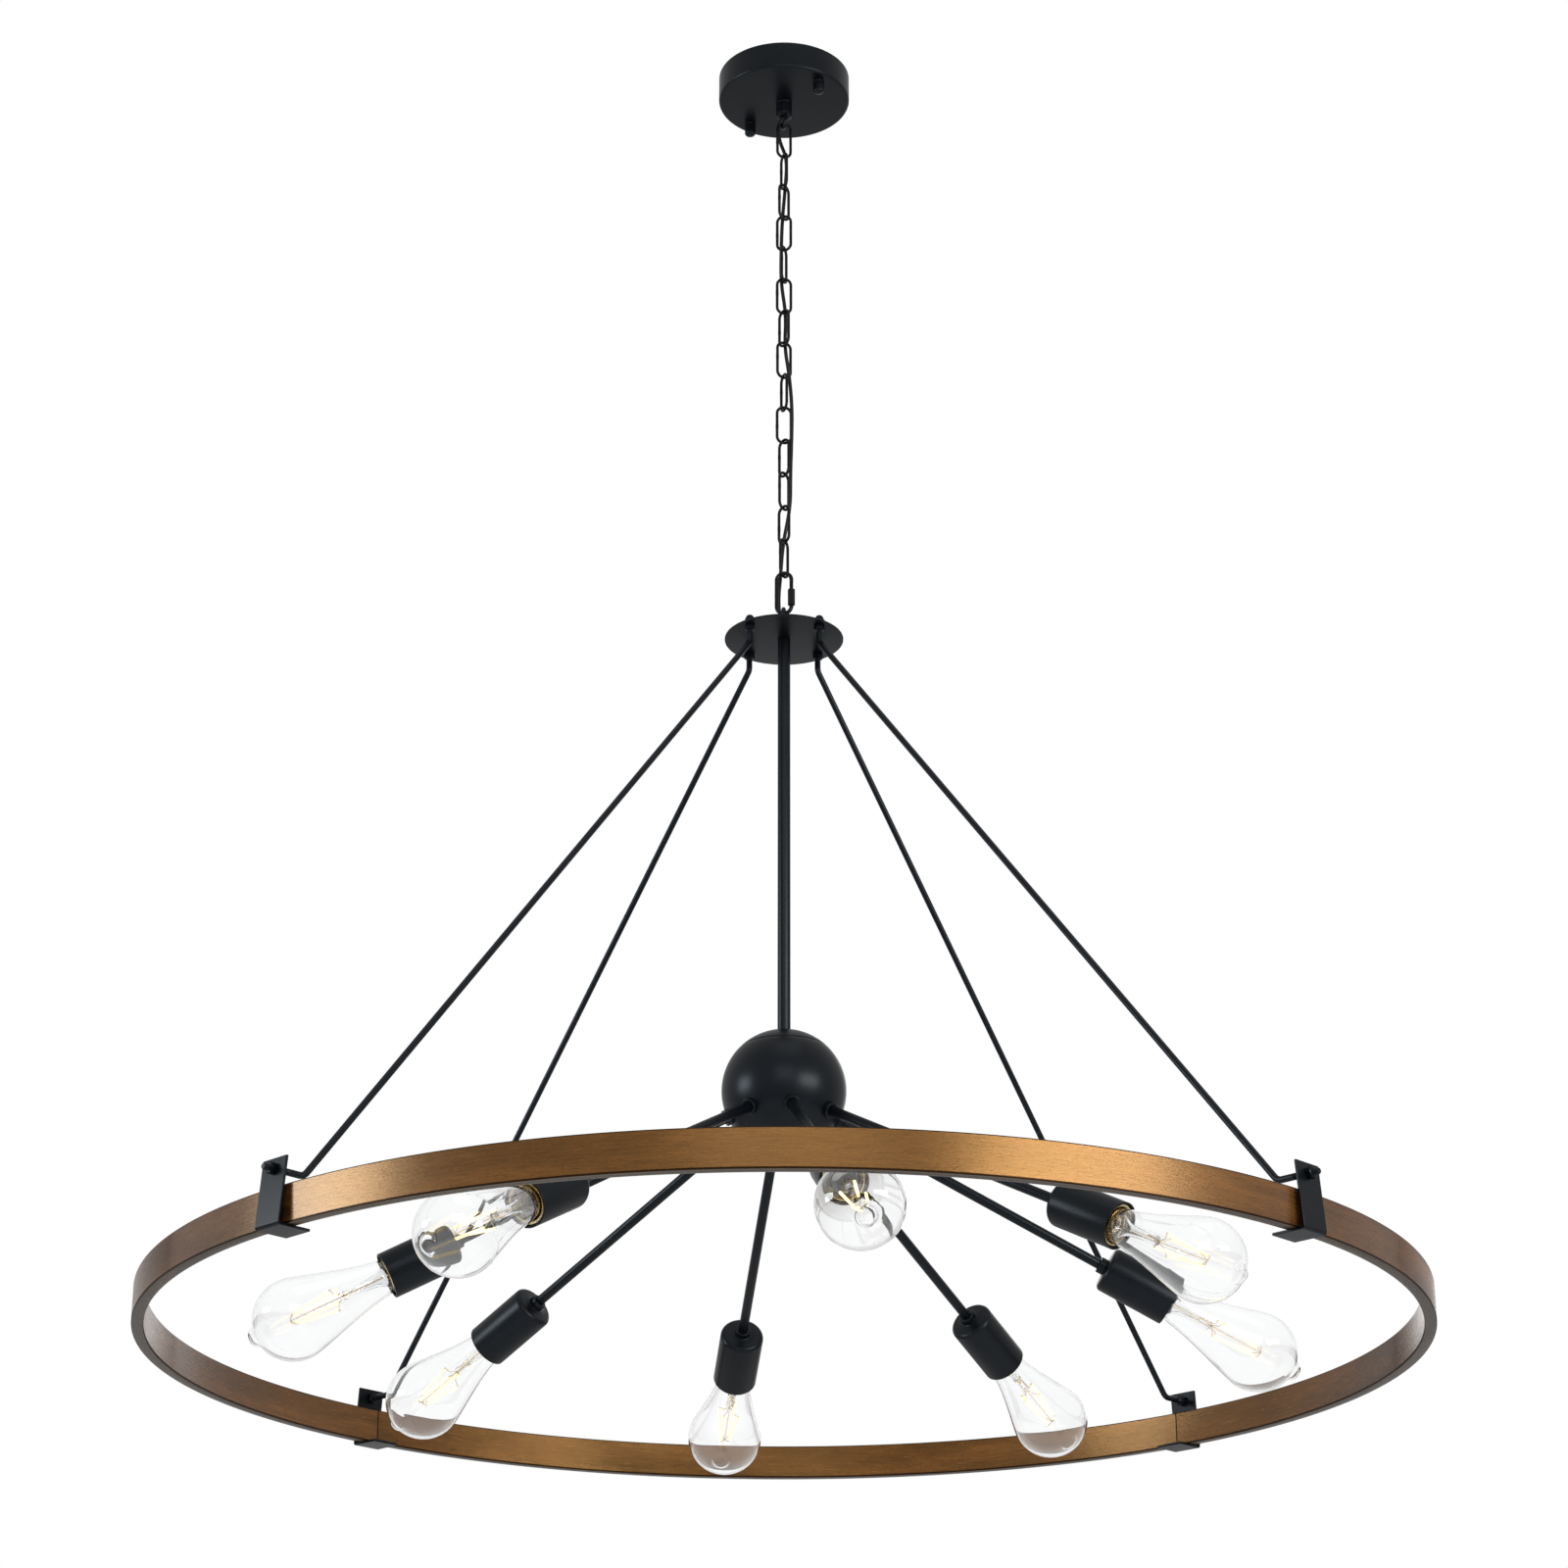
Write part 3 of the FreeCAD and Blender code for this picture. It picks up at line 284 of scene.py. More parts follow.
BLACK = coated_metal("black_powder_coat", (0.0014, 0.0020, 0.0030), (0.0028, 0.0037, 0.0052), 0.31)
CHAIN = coated_metal("black_enamel", (0.0018, 0.0020, 0.0026), (0.0036, 0.0040, 0.0048), 0.30, 1500.0)
ZINC = bare_metal("zinc_plate", (0.46, 0.46, 0.44), (0.66, 0.66, 0.64), 0.34)
BRASS = bare_metal("rolled_brass", (0.34, 0.26, 0.14), (0.52, 0.42, 0.25), 0.24)
NICKEL = bare_metal("support_wire", (0.44, 0.33, 0.16), (0.66, 0.50, 0.27), 0.3)
SOLDER = bare_metal("solder", (0.42, 0.42, 0.42), (0.62, 0.62, 0.62), 0.42)
WOOD = stained_wood("stained_wood_face", (1.0, 1.0, 1.0), (1.18, 1.10, 1.02))
WOOD_EDGE = stained_wood("stained_wood_edge", (0.75, 1.15, 2.2), (1.0, 1.0, 1.0))
# dark, nearly dull wood for strips along the hoop's corners: painted shade
WOOD_CORNER_SHADE = stained_wood("wood_corner_painted_shade", (0.20, 0.22, 0.26), (1.0, 1.0, 1.0), 1.0, 0.12)
END_GRAIN = stained_wood("stained_end_grain", (0.16, 0.16, 0.18), (1.0, 1.0, 1.0), 8.0, 0.1)
GLASS = clear_glass("bulb_glass", (0.955, 0.958, 0.96), 0.015)
STEM_GLASS = clear_glass("stem_glass", (0.93, 0.935, 0.94), 0.1)
LIT = glowing("lit_filament", (1.0, 0.72, 0.25), 1.5)
PLASTIC = moulded("holder_plastic", (0.010, 0.010, 0.010), (0.016, 0.016, 0.016), 0.5)
JACKET = moulded("cord_jacket", (0.0030, 0.0030, 0.0034), (0.0052, 0.0052, 0.0058), 0.42)


# ---------------- mesh helpers, in mm
def turned_out(mesh, weld=0.0):
    """Turns the faces outwards, after points that are nearer than weld, in metres, are made one."""
    work = bmesh.new()
    work.from_mesh(mesh)
    if weld:
        bmesh.ops.remove_doubles(work, verts=work.verts, dist=weld)
    bmesh.ops.recalc_face_normals(work, faces=work.faces)
    work.to_mesh(mesh)
    work.free()


def piece_of(mesh, body, replaced, sharp):
    """A piece with the mesh's name, smooth up to an angle in degrees, on a body if one is named."""
    mesh.shade_smooth()
    mesh.set_sharp_from_angle(angle=math.radians(sharp))
    piece = bpy.data.objects.new(mesh.name, mesh)
    bpy.context.scene.collection.objects.link(piece)
    if body is not None:
        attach(piece, body)
    if replaced:
        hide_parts(*replaced)
    return piece


def make(name, part, material, body, replaced=(), sharp=34.0):
    """A piece from a part: its points in mm and its faces."""
    points, faces = part
    mesh = bpy.data.meshes.new(name)
    mesh.from_pydata([Vector(point) * MM for point in points], [], faces)
    mesh.materials.append(material)
    turned_out(mesh, 1e-7)
    return piece_of(mesh, body, replaced, sharp)


def black(name, part, replaced=(), sharp=34.0, body="lamp"):
    """A piece in the black coat."""
    return make(name, part, BLACK, body, replaced, sharp)


def first(node, index):
    """Where one node stands for several pieces, the first of them replaces it."""
    return [node] if index == 0 else ()


def grid(rings, ends=False):
    """Faces between rings of equally many points. ends joins the last ring to the first."""
    count = len(rings[0])
    points = [point for ring in rings for point in ring]
    faces = []
    pairs = len(rings) if ends else len(rings) - 1
    for index in range(pairs):
        here = index * count
        there = (index + 1) % len(rings) * count
        for step in range(count):
            after = (step + 1) % count
            faces.append((here + step, here + after, there + after, there + step))
    return points, faces


def joined(*parts):
    """Several parts as one."""
    points, faces = [], []
    for more_points, more_faces in parts:
        start = len(points)
        points += list(more_points)
        faces += [tuple(index + start for index in face) for face in more_faces]
    return points, faces


def moved(part, matrix):
    """A part taken to another place."""
    points, faces = part
    return [matrix @ Vector(point) for point in points], faces


def turn(angle, axis="Z"):
    """A turn in degrees."""
    return Matrix.Rotation(math.radians(angle), 4, axis)


def shift(x, y, z):
    return Matrix.Translation(Vector((x, y, z)))


def heights(low, high, steps):
    """Even steps from one number to another, with both ends."""
    return [low + (high - low) * index / steps for index in range(steps + 1)]


def arc(radius, start, end, steps, level=0.0):
    """Outline along a sphere, between two angles in radians above its middle."""
    return [(radius * math.cos(a), level + radius * math.sin(a)) for a in heights(start, end, steps)]


def half_circle(radius, level, steps, side=1):
    """Half circle in the XZ plane: above from +X to -X, or below from -X to +X if side is -1."""
    return [(side * radius * math.cos(math.pi * step / steps), 0,
             level + side * radius * math.sin(math.pi * step / steps)) for step in range(steps + 1)]


def rounded(outline, steps=6):
    """Outline of (r, z) or (r, z, fillet) corners as plain points; it closes on itself."""
    result = []
    count = len(outline)
    for index, corner in enumerate(outline):
        here = Vector(corner[:2])
        if len(corner) == 2:
            result.append(tuple(here))
            continue
        before = Vector(outline[index - 1][:2]) - here
        after = Vector(outline[(index + 1) % count][:2]) - here
        a, b = before.normalized(), after.normalized()
        half = math.acos(max(-1.0, min(1.0, a.dot(b)))) / 2
        setback = corner[2] / math.tan(half)
        middle = here + (a + b).normalized() * (corner[2] / math.sin(half))
        start, end = here + a * setback - middle, here + b * setback - middle
        sweep_angle = start.angle_signed(end)
        for step in range(steps + 1):
            turned = start.copy()
            turned.rotate(Matrix.Rotation(-sweep_angle * step / steps, 2))
            result.append(tuple(middle + turned))
    return result


def lathe(outline, segments, reach=None, closed=True):
    """Turn an outline of (r, z) about Z. reach(r, z, angle) may change the radius."""
    rings = []
    for radius, height in outline:
        ring = []
        for step in range(segments):
            angle = TAU * step / segments
            wide = reach(radius, height, angle) if reach else radius
            ring.append((wide * math.cos(angle), wide * math.sin(angle), height))
        rings.append(ring)
    return grid(rings, ends=closed)


def sweep(path, radius, sides, closed=False, start_up=None):
    """Round bar along points. radius is a number or one number for each point."""
    path = [Vector(point) for point in path]
    count = len(path)
    radii = radius if isinstance(radius, (list, tuple)) else [radius] * count
    headings = []
    for index in range(count):
        before = path[index - 1] if index or closed else path[0]
        after = path[(index + 1) % count] if index < count - 1 or closed else path[-1]
        headings.append((after - before).normalized())
    up = Vector(start_up) if start_up else headings[0].orthogonal().normalized()
    rings = []
    for index in range(count):
        if index:
            up = headings[index - 1].rotation_difference(headings[index]) @ up
        up = (up - headings[index] * up.dot(headings[index])).normalized()
        side = headings[index].cross(up)
        ring = []
        for step in range(sides):
            angle = TAU * step / sides
            across = up * math.cos(angle) + side * math.sin(angle)
            ring.append(path[index] + across * radii[index])
        rings.append(ring)
    points, faces = grid(rings, ends=closed)
    if not closed:
        last = (count - 1) * sides
        faces.append(tuple(range(sides - 1, -1, -1)))
        faces.append(tuple(last + step for step in range(sides)))
    return points, faces


def hexagon(corner_radius, height, bore, chamfer=0.9):
    """Hexagon nut with the curved chamfers that turning leaves on its corners."""
    segments = 72
    flat = corner_radius * math.cos(math.pi / 6)
    circle = flat * chamfer

    def wide(angle):
        part = (angle + math.pi / 6) % (math.pi / 3) - math.pi / 6
        return flat / math.cos(part)

    low, lower, upper, top, inside_top, inside_low = [], [], [], [], [], []
    for step in range(segments):
        angle = TAU * step / segments + math.pi / 6
        c, s = math.cos(angle - math.pi / 6), math.sin(angle - math.pi / 6)
        reach = wide(angle)
        drop = (reach - circle) * math.tan(math.radians(30))
        low.append((circle * c, circle * s, 0))
        lower.append((reach * c, reach * s, drop))
        upper.append((reach * c, reach * s, height - drop))
        top.append((circle * c, circle * s, height))
        inside_top.append((bore * c, bore * s, height))
        inside_low.append((bore * c, bore * s, 0))
    return grid([low, lower, upper, top, inside_top, inside_low], ends=True)


def knurl(teeth, slope, depth, low, high):
    """A radius rule that cuts a diamond knurl between two heights."""
    def reach(radius, height, angle):
        if not low <= height <= high or radius < 1:
            return radius
        a = abs((angle * teeth / TAU + height * slope) % 1.0 - 0.5) * 2
        b = abs((angle * teeth / TAU - height * slope) % 1.0 - 0.5) * 2
        return radius - depth * (1 - min(a, b))
    return reach


def azimuth(angle, radius, height):
    """A point at an azimuth counted from -Y towards +X."""
    turned = math.radians(angle)
    return Vector((radius * math.sin(turned), -radius * math.cos(turned), height))


def arm_matrix(index, distance):
    """Takes +Z to an arm's direction, at a distance from the ball's centre."""
    angle = ARM_TURN + 360 / ARMS * index
    slope = math.radians(ARM_SLOPE)
    spot = azimuth(angle, distance * math.cos(slope), ball_z - distance * math.sin(slope))
    return Matrix.Translation(spot) @ turn(angle) @ turn(90 + ARM_SLOPE, "X")


# ---------------- canopy
def canopy():
    """The pressed round cover and its two knurled cap nuts."""
    hole, under = NIPPLE_R + 0.3, floor_z + CANOPY_WALL
    shell = rounded([
        (hole, floor_z), (CANOPY_R, floor_z, 2.4), (CANOPY_R, 0), (CANOPY_R - CANOPY_WALL, 0),
        (CANOPY_R - CANOPY_WALL, under, 1.2), (hole, under)], 8)
    black("canopy_shell", lathe(shell, 160), ["canopy_cover"], body="canopy")
    grip = (0.9, CAP_H - 2.2)
    bore, depth = 2.05, 3
    outline = [(CAP_R - 0.5, 0), (CAP_R - 0.05, 0.35)]
    outline += [(CAP_R, level) for level in heights(*grip, 22)]
    outline += [(CAP_R - 0.35, CAP_H - 1.6), (CAP_R - 1.1, CAP_H - 0.7), (CAP_R - 2.4, CAP_H - 0.15),
                (0, CAP_H), (0, CAP_H - depth), (bore, CAP_H - depth), (bore, 0)]
    cap = lathe(outline, 144, knurl(30, 0.62, 0.42, *grip))
    for index, side in enumerate((0, 180)):
        spot = azimuth(BAR_TURN + side, STUD_REACH, floor_z)
        black("canopy_cap_nut_%d" % (index + 1), moved(cap, Matrix.Translation(spot) @ turn(180, "X")),
              first("canopy_cap_nuts", index), 50, "canopy")


def loop_on_collar(total, nipple):
    """Collar with a knurled grip, wire loop above it and threaded nipple below it."""
    grip = (1.4, COLLAR_H - 3.2)
    outline = [(CORD_BORE, 0), (NIPPLE_R, 0), (COLLAR_R - 0.7, 0), (COLLAR_R, 0.7)]
    outline += [(COLLAR_R, level) for level in heights(*grip, 26)]
    outline += [(COLLAR_R, COLLAR_H - 2.6), (COLLAR_R - 0.6, COLLAR_H - 1.6),
                (COLLAR_R - 0.4, COLLAR_H - 0.8), (COLLAR_R - 1.3, COLLAR_H),
                (CORD_BORE + FLARE, COLLAR_H), (CORD_BORE, COLLAR_H - FLARE_DEPTH)]
    collar = lathe(outline, 168, knurl(34, 0.6, 0.4, *grip))
    leg_top = total - LOOP_WIRE - LOOP_R
    legs = [COLLAR_H - 2, (COLLAR_H + leg_top) / 2]
    path = [(LOOP_R, 0, level) for level in legs]
    path += half_circle(LOOP_R, leg_top, 28)
    path += [(-LOOP_R, 0, level) for level in reversed(legs)]
    bow = sweep(path, LOOP_WIRE, 20, start_up=(0, 1, 0))
    thread = [(CORD_BORE, 0.2), (NIPPLE_R, 0.2)]
    thread += [(NIPPLE_R - (0.35 if index % 2 else 0.0), -level)
               for index, level in enumerate(heights(0.3, nipple - 0.3, 2 * int(nipple / 0.9)))]
    thread += [(NIPPLE_R - 0.5, -nipple), (CORD_BORE, -nipple)]
    return joined(collar, bow, lathe(thread, 48))


def loops():
    """The canopy's loop points down and the lamp's points up."""
    top = loop_on_collar(LOOP_DROP, NIPPLE_L)
    place = shift(0, 0, floor_z) @ turn(TOP_LOOP_TURN) @ turn(180, "X")
    black("canopy_loop_wire", moved(top, place), ["canopy_loop"], 48, "canopy")
    low = loop_on_collar(LOOP_RISE, NIPPLE_L + PLATE_T)
    place = shift(0, 0, plate_top) @ turn(BOTTOM_LOOP_TURN)
    black("lamp_loop_wire", moved(low, place), ["lamp_loop"], 48)


# ---------------- chain
def link_path(eye, wire, inner):
    """Closed centre line of a long link in the XZ plane."""
    radius = eye + wire
    leg = inner / 2 - eye
    path = half_circle(radius, leg, 20)
    path += [(-radius, 0, level) for level in heights(leg, -leg, 10)[1:-1]]
    path += half_circle(radius, -leg, 20, -1)
    path += [(radius, 0, level) for level in heights(-leg, leg, 10)[1:-1]]
    return path


def chain():
    """Links with the small bead of a weld on one leg, each turned against its neighbours."""
    bead, spread = 0.16, 1.9
    path = link_path(LINK_EYE, LINK_WIRE, LINK_INNER)
    for index, angle in enumerate(LINK_TURNS):
        weld = Vector((-(LINK_EYE + LINK_WIRE), 0, 3.0 if index % 3 else -2.0))
        radii = [LINK_WIRE + bead * math.exp(-((Vector(point) - weld).length / spread) ** 2)
                 for point in path]
        part = sweep(path, radii, 18, closed=True, start_up=(0, 1, 0))
        place = shift(0, 0, first_link - pitch * index) @ turn(angle)
        number = "%02d" % (index + 1)
        make("link_wire_" + number, moved(part, place), CHAIN, "link_" + number,
             ["chain_link_" + number], 60)


def quick_link():
    """A link with a gap in one leg, a thread on the upper stub and a hexagon sleeve."""
    side = QUICK_EYE + QUICK_WIRE
    leg = QUICK_INNER / 2 - QUICK_EYE
    stub_top = -leg + SLEEVE_SEAT * 4
    place = shift(0, 0, quick_mid) @ turn(QUICK_TURN)
    path = [(side, 0, level) for level in heights(stub_top + QUICK_GAP, leg, 34)]
    radii = [QUICK_WIRE - (0.28 if index % 2 and index < 30 else 0.0) for index in range(len(path))]
    path += half_circle(side, leg, 24)[1:]
    path += [(-side, 0, level) for level in heights(leg, -leg, 8)[1:]]
    path += half_circle(side, -leg, 24, -1)[1:]
    path += [(side, 0, level) for level in heights(-leg, stub_top, 4)[1:]]
    radii += [QUICK_WIRE] * (len(path) - len(radii))
    wire = sweep(path, radii, 20, start_up=(0, 1, 0))
    make("quick_link_wire", moved(wire, place), CHAIN, "quick_link", ["quick_link"], 40)
    nut = hexagon(SLEEVE_R, SLEEVE_L, QUICK_WIRE + 0.12, 0.94)
    make("quick_link_hexagon_sleeve", moved(nut, place @ shift(side, 0, -leg + SLEEVE_SEAT)), CHAIN,
         "sleeve", ["quick_link_sleeve"])


# The cord's corners from the canopy's grip to the stem: x, y and the drop below the top loop's seat.
CORD_ROUTE = [
    (0.0, 0.0, -36.0), (0.0, 0.0, -9.6), (-6.5, 3.0, 0.0), (-3.2, 6.0, 15.0), (3.0, 5.5, 32.0),
    (1.0, 6.5, 64.0), (-1.5, 4.0, 96.0), (-2.5, 4.2, 128.0), (-2.7, 4.0, 160.0), (2.0, 5.5, 192.0),
    (0.5, 5.0, 224.0), (4.5, -3.0, 256.0), (7.0, -2.5, 288.0), (6.5, -2.3, 320.0), (5.5, -1.0, 352.0),
    (5.5, -0.5, 384.0), (-1.0, 6.5, 416.0), (-3.0, 5.5, 448.0), (-4.6, 5.2, 466.0), (-4.0, 5.5, 482.0),
    (0.0, 0.0, 493.4), (0.0, 0.0, 517.0),
]


def cord_path():
    """The cord's centre line, a smooth curve along its corners."""
    curve = bpy.data.curves.new("cord_line", "CURVE")
    curve.dimensions = "3D"
    curve.resolution_u = 10
    line = curve.splines.new("NURBS")
    line.points.add(len(CORD_ROUTE) - 1)
    for point, (x, y, drop) in zip(line.points, CORD_ROUTE):
        point.co = (x * MM, y * MM, (hoop_seat - drop) * MM, 1.0)
    line.order_u = 3
    line.use_endpoint_u = True
    holder = bpy.data.objects.new("cord_line", curve)
    bpy.context.scene.collection.objects.link(holder)
    bpy.context.view_layer.update()
    track = bpy.data.meshes.new_from_object(holder)
    path = [vertex.co.copy() / MM for vertex in track.vertices]
    bpy.data.objects.remove(holder)
    return path


def supply_cord():
    """The cord as stretches, one around each hinge between neighbouring bodies, cut halfway between two
    hinges.
    """
    sides, reach = 16, 11
    links = range(len(LINK_TURNS))
    path = cord_path()
    points = sweep(path, CORD_R, sides, start_up=(0, 1, 0))[0]
    rings = [points[sides * index:sides * (index + 1)] for index in range(len(path))]
    hinges = [hoop_seat - LOOP_WIRE]
    hinges += [first_link - pitch * index - LINK_INNER / 2 - LINK_WIRE for index in links]
    hinges += [quick_seat - QUICK_WIRE]
    cuts = [0]
    for above, below in zip(hinges, hinges[1:]):
        middle = (above + below) / 2
        cuts.append(min(range(len(path)), key=lambda index: abs(path[index].z - middle)))
    cuts.append(len(path) - 1)
    for index, hinge in enumerate(hinges):
        stretch = grid(rings[cuts[index]:cuts[index + 1] + 1])
        piece = make("cord_stretch_%02d" % (index + 1), stretch, JACKET, None,
                     first("supply_cord", index), 70)
        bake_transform(piece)


# ---------------- plate, stem and ball
def plate_and_stem():
    """The round plate on top and the pipe from it into the ball."""
    hole, edge = NIPPLE_R + 0.2, 0.5
    outline = rounded([
        (hole, plate_low), (PLATE_R, plate_low, edge), (PLATE_R, plate_top, edge), (hole, plate_top)], 4)
    black("round_plate", lathe(outline, 144), ["top_plate"])
    foot, head = plate_low - STEM_L, plate_low - 0.02
    outline = rounded([(STEM_R - 1, foot), (STEM_R, foot, 0.3), (STEM_R, head), (STEM_R - 1, head)], 3)
    black("stem_pipe", lathe(outline, 64), ["stem_tube"])


def ball():
    """Bowl and cap of the hollow ball, with the seam between them and the cap's skirt in the bowl."""
    low_steps, high_steps = 56, 30
    seam = math.radians(SEAM)
    gap = math.asin(0.4 / BALL_R)
    inner = BALL_R - BALL_WALL
    neck = STEM_R + 0.08
    place = shift(0, 0, ball_z)
    bowl = arc(BALL_R, -math.pi / 2, seam - gap - 0.016, low_steps)
    lip_r, lip_z = BALL_R * math.cos(seam - gap), BALL_R * math.sin(seam - gap)
    bowl += [(lip_r + 0.02, lip_z - 0.35), (lip_r - 0.35, lip_z)]
    bowl += arc(inner, seam - gap, -math.pi / 2, low_steps)
    black("ball_lower_half", moved(lathe(bowl, 128, closed=False), place), ["ball_shell"])
    seam_r, seam_z = BALL_R * math.cos(seam), BALL_R * math.sin(seam)
    cap = [(seam_r - 0.3, seam_z + 0.02)]
    cap += arc(BALL_R, seam + 0.012, math.acos(neck / BALL_R), high_steps)
    cap += arc(inner, math.acos(neck / inner), seam + 0.02, high_steps)
    skirt = seam_r - 2.2
    cap += [(skirt - 1.2, seam_z - 5), (skirt, seam_z - 5), (skirt, seam_z + 0.02)]
    black("ball_cap_shell", moved(lathe(cap, 128), place), ["ball_cap"])


# ---------------- tie rods, nuts and brackets
def rod_turn(index):
    """A rod's azimuth."""
    return ROD_TURN + 360 / RODS * index


def tie_rods():
    """Four rods, threaded at both ends, bent under the plate and inside the hoop."""
    groove = 0.26
    for index in range(RODS):
        angle = rod_turn(index)
        corners = [azimuth(angle, reach, level) for reach, level in (
            (ROD_CIRCLE, plate_top + 5.4), (ROD_CIRCLE, plate_low - ROD_STUB),
            (ROD_KNEE, rod_z), (ROD_END, rod_z))]
        path, radii = [], []
        stub = corners[1] - corners[0]
        for count, length in enumerate(heights(0, stub.length - 6.5, 44)):
            path.append(corners[0] + stub.normalized() * length)
            radii.append(ROD_R - (groove if count % 2 and length < 13 else 0.0))
        for before, corner, after in zip(corners, corners[1:], corners[2:]):
            coming, going = (corner - before).normalized(), (after - corner).normalized()
            half = coming.angle(going) / 2
            enter = corner - coming * (ROD_BEND * math.tan(half))
            normal = coming.cross(going).normalized()
            centre = enter + (going - coming * going.dot(coming)).normalized() * ROD_BEND
            for part in heights(0, 2 * half, 8):
                path.append(centre + Quaternion(normal, part) @ (enter - centre))
                radii.append(ROD_R)
        start, run = path[-1], corners[3] - path[-1]
        path += [start + run * part for part in heights(0.1, 0.3, 3)]
        radii += [ROD_R] * 4
        for count, part in enumerate(heights(0.36, 1.0, 46)):
            path.append(start + run * part)
            radii.append(ROD_R - (groove if count % 2 else 0.0))
        radii[-1] = ROD_R - 0.5
        black("tie_rod_bar_%d" % (index + 1), sweep(path, radii, 20), ["tie_rod_%d" % (index + 1)], 42)


def acorn(corner_radius, height, bore):
    """Cap nut: hexagon foot and a dome."""
    foot = hexagon(corner_radius, 4.6, bore, 0.92)
    dome_r = corner_radius * math.cos(math.pi / 6) - 0.35
    dome_z = 4.8
    outline = [(0.01, 4.0), (dome_r, 4.0), (dome_r, dome_z)]
    outline += [(dome_r * math.cos(a), dome_z + (height - dome_z) * math.sin(a))
                for a in heights(0.05, math.pi / 2, 12)]
    return joined(foot, lathe(outline, 48, closed=False))


def rod_nuts():
    """Cap nuts on the plate, nuts under it and nuts on each side of the brackets."""
    caps, unders, ends = [], [], []
    nut = hexagon(ROD_NUT_R, ROD_NUT_H, ROD_R)
    slope = math.tan(math.radians(BRACKET_LEAN))
    face = RING_R + BRACKET_OUT - (ROD_HOLE + RING_H / 2) * slope
    room = ROD_NUT_R * slope
    for index in range(RODS):
        angle = rod_turn(index)
        spot = azimuth(angle, ROD_CIRCLE, plate_top)
        caps.append(moved(acorn(ROD_NUT_R, 8.5, ROD_R), Matrix.Translation(spot) @ turn(angle + 12)))
        spot = azimuth(angle, ROD_CIRCLE, plate_low - ROD_NUT_H)
        unders.append(moved(nut, Matrix.Translation(spot) @ turn(angle + 20)))
        outwards = turn(angle) @ turn(90, "X")
        for reach in (face - room - ROD_NUT_H, face + BRACKET_T + room):
            spot = azimuth(angle, reach + 0.05, rod_z)
            ends.append(moved(nut, Matrix.Translation(spot) @ outwards @ turn(17 * index)))
    black("rod_acorn_nuts", joined(*caps), ["rod_cap_nuts"])
    black("rod_hexagon_nuts", joined(*unders), ["rod_under_nuts"])
    black("rod_clamp_nuts", joined(*ends), ["rod_end_nuts"])


def brackets():
    """Bent sheets: a foot under the hoop and a leaning plate outside it."""
    lean = math.radians(BRACKET_LEAN)
    inside = RING_R + BRACKET_OUT
    outside = inside + BRACKET_T / math.cos(lean)
    foot, back = outside - BRACKET_FOOT, BRACKET_TOP * math.tan(lean)
    section = rounded([
        (foot, -BRACKET_T), (outside, -BRACKET_T, 2.6), (outside - back, BRACKET_TOP),
        (inside - back, BRACKET_TOP), (inside, 0, 0.7), (foot, 0)], 6)
    count = len(section)
    rings = [[(reach, across, ring_low + height) for reach, height in section]
             for across in (-BRACKET_W / 2, BRACKET_W / 2)]
    points, faces = grid(rings)
    faces += [tuple(range(count - 1, -1, -1)), tuple(range(count, 2 * count))]
    for index in range(RODS):
        piece = black("bracket_sheet_%d" % (index + 1), moved((points, faces), turn(rod_turn(index) - 90)),
                      ["bracket_%d" % (index + 1)])
        edge = piece.modifiers.new("edge", "BEVEL")
        edge.width = 0.45 * MM
        edge.segments = 2
        edge.limit_method = "ANGLE"
        edge.angle_limit = math.radians(60)


# ---------------- wooden hoop
def hoop_section():
    """Outline of the hoop's wood, with points where the dark lines of painted shade along its corners
    begin.
    """
    half, inner, corner = RING_H / 2, RING_R - RING_T, 0.9
    low, high = -half + LOW_SHADE_LINE, half - HIGH_SHADE_LINE
    return rounded([
        (inner, -half, corner), (RING_R, -half, corner), (RING_R, low), (RING_R, high),
        (RING_R, half, corner), (inner, half, corner), (inner, high), (inner, low)], 4)


def wood_index(step, level, steps):
    """Which material a face of the long sides has: 0 wood, 1 edge, 2 corner line of painted shade or 3 end
    grain.
    """
    half = RING_H / 2
    if step in (0, steps - 1):
        return 3
    if abs(level) > half - 0.05:
        return 1
    # faces next to the bottom and top corners take the painted shade
    return 2 if level < -half + LOW_SHADE_LINE or level > half - 0.8 else 0


